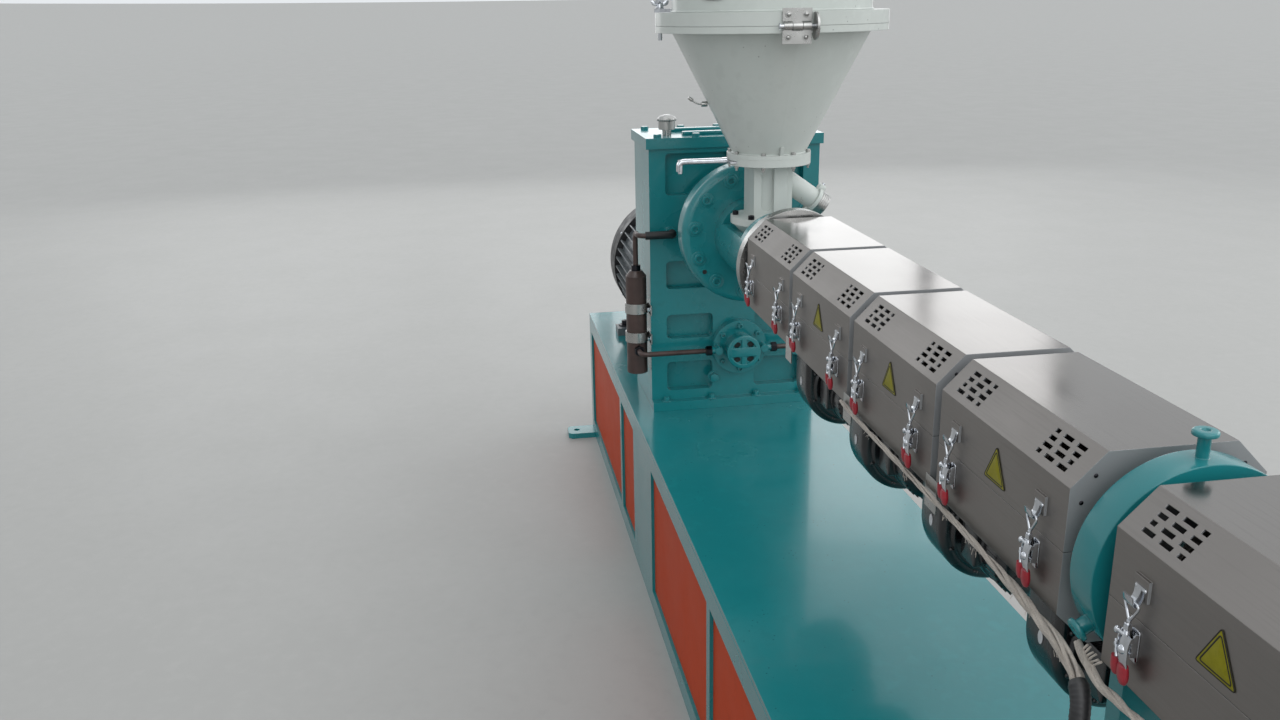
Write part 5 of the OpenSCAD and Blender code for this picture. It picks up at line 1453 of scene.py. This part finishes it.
class ExtruderColours(bpy.types.PropertyGroup):
    teal: paint("Teal", "Machine enamel of the base, gearbox and split ring", (21, 119, 124))
    # The orange is a little darker than the enamel's own: painted shade of the backlit panels.
    orange: paint("Orange", "Enamel of the side panels and coupling guard", (176, 60, 20))
    cream: paint("Cream", "Enamel of the hopper and feed throat", (190, 196, 192))
    cooler: paint("Cooler brown", "Enamel of the oil cooler and pipes", (62, 45, 41))
    motor: paint("Motor grey", "Enamel of the finned motor", (92, 98, 102))
    stainless: paint("Stainless", "Brushed sheet of the covers and trays", (135, 131, 128))
    zinc: paint("Zinc", "Bright plate of the latches, hinges and screws", (196, 199, 204))
    steel: paint("Machined steel", "Barrel, flanges and drain cap", (168, 168, 166))
    heater: paint("Heater casting", "Finned heater bands", (128, 124, 118))
    black: paint("Glossy black", "Moulded blower casings", (17, 18, 21))
    stove: paint("Stove black", "Fan cowl, terminal box and sleeves", (28, 28, 30))
    oxide: paint("Bolt black", "Blackened bolts", (46, 46, 50))
    red: paint("Red grips", "Dipped vinyl on the latch levers", (148, 14, 34))
    sleeve: paint("Sleeving", "Glass-fibre sleeves of the wires", (172, 164, 155))
    # The yellow is darkened towards olive: painted shade of the covers' shaded side.
    yellow: paint("Yellow", "Blank triangular plates on the covers", (132, 127, 10))
    pale: paint("Pale plates", "Blank ovals on the blowers", (205, 205, 208))
    line: paint("Dark rim", "Rim line of the yellow plates", (40, 38, 30))
    glass: paint("Sight glass", "Clear strip in the drum", (70, 80, 82))


class ExtruderStage(bpy.types.PropertyGroup):
    eye: bpy.props.FloatVectorProperty(name="Eye", description="Camera's place", size=3, subtype="XYZ",
                                       unit="LENGTH", default=(2.25, -0.6943, 1.5449))
    lens: bpy.props.FloatProperty(name="Lens", description="Focal length on a 36 mm frame, in millimetres",
                                  default=31.13)
    turn: turn_of("Turn", "Camera's turn from -X towards +Y", 8.826)
    dip: turn_of("Dip", "Camera's dip below the horizon", 17.769)
    roll: turn_of("Roll", "Camera's roll", -1.033)
    floor: paint("Floor", "Plain pale floor", (160, 160, 158))
    panels: strength_of("Lamp panels", "Brightness of the flat lamps", 1.2)
    fill: strength_of("Fill", "Strength of the wide soft lamp in front", 1.35)
    sky_light: strength_of("Sky as light", "Strength of the sky's light", 0.55)
    sky_seen: strength_of("Sky as seen", "Strength of the sky as the eye and gloss see it", 0.86)


class ExtruderCovers(bpy.types.PropertyGroup):
    plate_side: length_of("Plate side", "Side of the blank yellow triangles", 0.052)
    hook_width: length_of("Hook width", "Width of the hooks on the covers", 0.015)
    wire: length_of("Bail wire", "Thickness of the latch bail's wire", 0.0030)
    lever_width: length_of("Lever width", "Width of the latch's main lever", 0.0125)
    grip_width: length_of("Grip width", "Width of the main lever's red grip", 0.0150)
    ring: length_of("Split ring", "Width of the ring between the last two covers", 0.230)
    ring_bore: length_of("Ring bore", "Width of the ring's hole", 0.1166)
    ring_head: length_of("Ring screw heads", "Width of the ring's screw heads", 0.026)


class ExtruderBlowers(bpy.types.PropertyGroup):
    scroll_edge: length_of("Casing edge", "Rounding of the casing's edges", 0.012)
    motor_ribs: number_of("Motor ribs", "Ribs round each blower's motor", 36, 8)
    plate_width: length_of("Oval width", "Width of the blank ovals", 0.011)
    plate_height: length_of("Oval height", "Height of the blank ovals", 0.019)


class ExtruderLoom(bpy.types.PropertyGroup):
    strand_count: number_of("Wires", "Sleeved wires round the loom", 9, 3)
    lay_length: length_of("Lay", "Length in which a wire goes once round the loom", 0.21)


class ExtruderGearbox(bpy.types.PropertyGroup):
    lid_bolt: length_of("Lid bolts", "Width across flats of the top cover's bolts", 0.019)
    bearing_circle: length_of("Bearing bolt circle", "Pitch circle of the bearing housing's bolts", 0.290)
    bearing_bolt: length_of("Bearing bolts", "Head width of the bearing housing's bolts", 0.024)
    pipe: length_of("Oil pipe", "Thickness of the oil pipes", 0.014)


class ExtruderHopper(bpy.types.PropertyGroup):
    throat_circle: length_of("Throat bolt circle", "Pitch circle of the throat's flange bolts", 0.181)
    disc: length_of("Stop disc", "Width of the disc on the hinge's pin", 0.055)
    window_width: length_of("Window width", "Width of the drum's sight glass", 0.045)
    window_height: length_of("Window height", "Height of the drum's sight glass", 0.300)
    window_turn: turn_of("Window turn", "Sight glass's turn from +X", -48.0)


GROUPS = {
    "extruder_colours": ExtruderColours,
    "extruder_stage": ExtruderStage,
    "extruder_covers": ExtruderCovers,
    "extruder_blowers": ExtruderBlowers,
    "extruder_loom": ExtruderLoom,
    "extruder_gearbox": ExtruderGearbox,
    "extruder_hopper": ExtruderHopper,
}


# Operators


class EXTRUDER_OT_finishes(bpy.types.Operator):
    """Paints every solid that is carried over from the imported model"""

    bl_idname = "extruder.finishes"
    bl_label = "Finishes"

    def execute(self, context):
        make_finishes(context.scene.extruder_colours)
        left = set(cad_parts)
        for finish, nodes in CARRIED.items():
            for node in nodes:
                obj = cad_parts[node]
                if not obj.material_slots:
                    raise RuntimeError(f"{node} has no material slot")
                for entry in obj.material_slots:
                    entry.material = FINISHES[finish]
                left.discard(node)
        if left:
            raise RuntimeError(f"no finish for {sorted(left)}")
        return {"FINISHED"}


class EXTRUDER_OT_stage(bpy.types.Operator):
    """Sets up the camera, the floor, the sky and the lamps"""

    bl_idname = "extruder.stage"
    bl_label = "Stage"

    def execute(self, context):
        make_stage(context.scene.extruder_stage)
        return {"FINISHED"}


class EXTRUDER_OT_covers(bpy.types.Operator):
    """Adds the covers' screws and blank yellow plates"""

    bl_idname = "extruder.covers"
    bl_label = "Cover screws and plates"

    def execute(self, context):
        cover_screws()
        blank_plates(context.scene.extruder_covers)
        return {"FINISHED"}


class EXTRUDER_OT_latches(bpy.types.Operator):
    """Adds the toggle latches, their red grips and the hooks on the covers"""

    bl_idname = "extruder.latches"
    bl_label = "Latches"

    def execute(self, context):
        latch_hooks(context.scene.extruder_covers)
        latches(context.scene.extruder_covers)
        return {"FINISHED"}


class EXTRUDER_OT_blowers(bpy.types.Operator):
    """Adds the blowers' casings, motors and blank oval plates"""

    bl_idname = "extruder.blowers"
    bl_label = "Blowers"

    def execute(self, context):
        blowers(context.scene.extruder_blowers)
        return {"FINISHED"}


class EXTRUDER_OT_loom(bpy.types.Operator):
    """Lays the sleeved wires along the trays and down to the gland"""

    bl_idname = "extruder.loom"
    bl_label = "Wire loom"

    def execute(self, context):
        wire_loom(context.scene.extruder_loom)
        return {"FINISHED"}


class EXTRUDER_OT_gearbox(bpy.types.Operator):
    """Adds the bolts of the gearbox, its pump and bearing housing, the breather's cap and the oil lines"""

    bl_idname = "extruder.gearbox"
    bl_label = "Gearbox bolts and oil lines"

    def execute(self, context):
        s = context.scene.extruder_gearbox
        bearing_bolts(s)
        gearbox_bolts(s)
        pump_cap()
        breather_cap()
        oil_lines(s)
        return {"FINISHED"}


class EXTRUDER_OT_motor(bpy.types.Operator):
    """Adds the motor's grille, eye, box lid and bolts, and the coupling guard's bands"""

    bl_idname = "extruder.motor"
    bl_label = "Motor and coupling"

    def execute(self, context):
        fan_grille()
        motor_dressing()
        coupling_dressing()
        return {"FINISHED"}


class EXTRUDER_OT_throat(bpy.types.Operator):
    """Adds the feed throat's bolts, the drain's clips and the slide gate's bent bar"""

    bl_idname = "extruder.throat"
    bl_label = "Feed throat"

    def execute(self, context):
        throat_bolts(context.scene.extruder_hopper)
        drain_dressing()
        gate_handle()
        return {"FINISHED"}


class EXTRUDER_OT_hopper(bpy.types.Operator):
    """Adds the hopper's hinge bolts, disc, welds, sight glass, wing nuts and sensor tube"""

    bl_idname = "extruder.hopper"
    bl_label = "Hopper"

    def execute(self, context):
        s = context.scene.extruder_hopper
        hinge_dressing(s)
        hopper_seams()
        sight_window(s)
        clamp_dressing()
        sensor_lead()
        return {"FINISHED"}


class EXTRUDER_OT_base(bpy.types.Operator):
    """Adds the deck's welds, the split ring with its screws and the die flange's turned rings"""

    bl_idname = "extruder.base"
    bl_label = "Base, split ring and die flange"

    def execute(self, context):
        base_seams()
        split_ring(context.scene.extruder_covers)
        die_face()
        return {"FINISHED"}


STEPS = ["finishes", "stage", "covers", "latches", "blowers", "loom", "gearbox", "motor", "throat", "hopper",
         "base"]


class EXTRUDER_PT_panel(bpy.types.Panel):
    """Lists the dressing's steps and settings"""

    bl_idname = "EXTRUDER_PT_panel"
    bl_label = "Plastic extruder"
    bl_space_type = "VIEW_3D"
    bl_region_type = "UI"
    bl_category = "Extruder"

    def draw(self, context):
        column = self.layout.column()
        for step in STEPS:
            column.operator(f"extruder.{step}")
        for key, group in GROUPS.items():
            box = column.box()
            settings = getattr(context.scene, key)
            for name in group.__annotations__:
                box.prop(settings, name)


CLASSES = [*GROUPS.values(), EXTRUDER_OT_finishes, EXTRUDER_OT_stage, EXTRUDER_OT_covers,
           EXTRUDER_OT_latches, EXTRUDER_OT_blowers, EXTRUDER_OT_loom, EXTRUDER_OT_gearbox,
           EXTRUDER_OT_motor, EXTRUDER_OT_throat, EXTRUDER_OT_hopper, EXTRUDER_OT_base, EXTRUDER_PT_panel]


def register():
    for cls in CLASSES:
        bpy.utils.register_class(cls)
    for key, group in GROUPS.items():
        setattr(bpy.types.Scene, key, bpy.props.PointerProperty(type=group))


def unregister():
    for key in GROUPS:
        delattr(bpy.types.Scene, key)
    for cls in reversed(CLASSES):
        bpy.utils.unregister_class(cls)


def main():
    register()
    for step in STEPS:
        getattr(bpy.ops.extruder, step)()


if __name__ == "__main__":
    main()
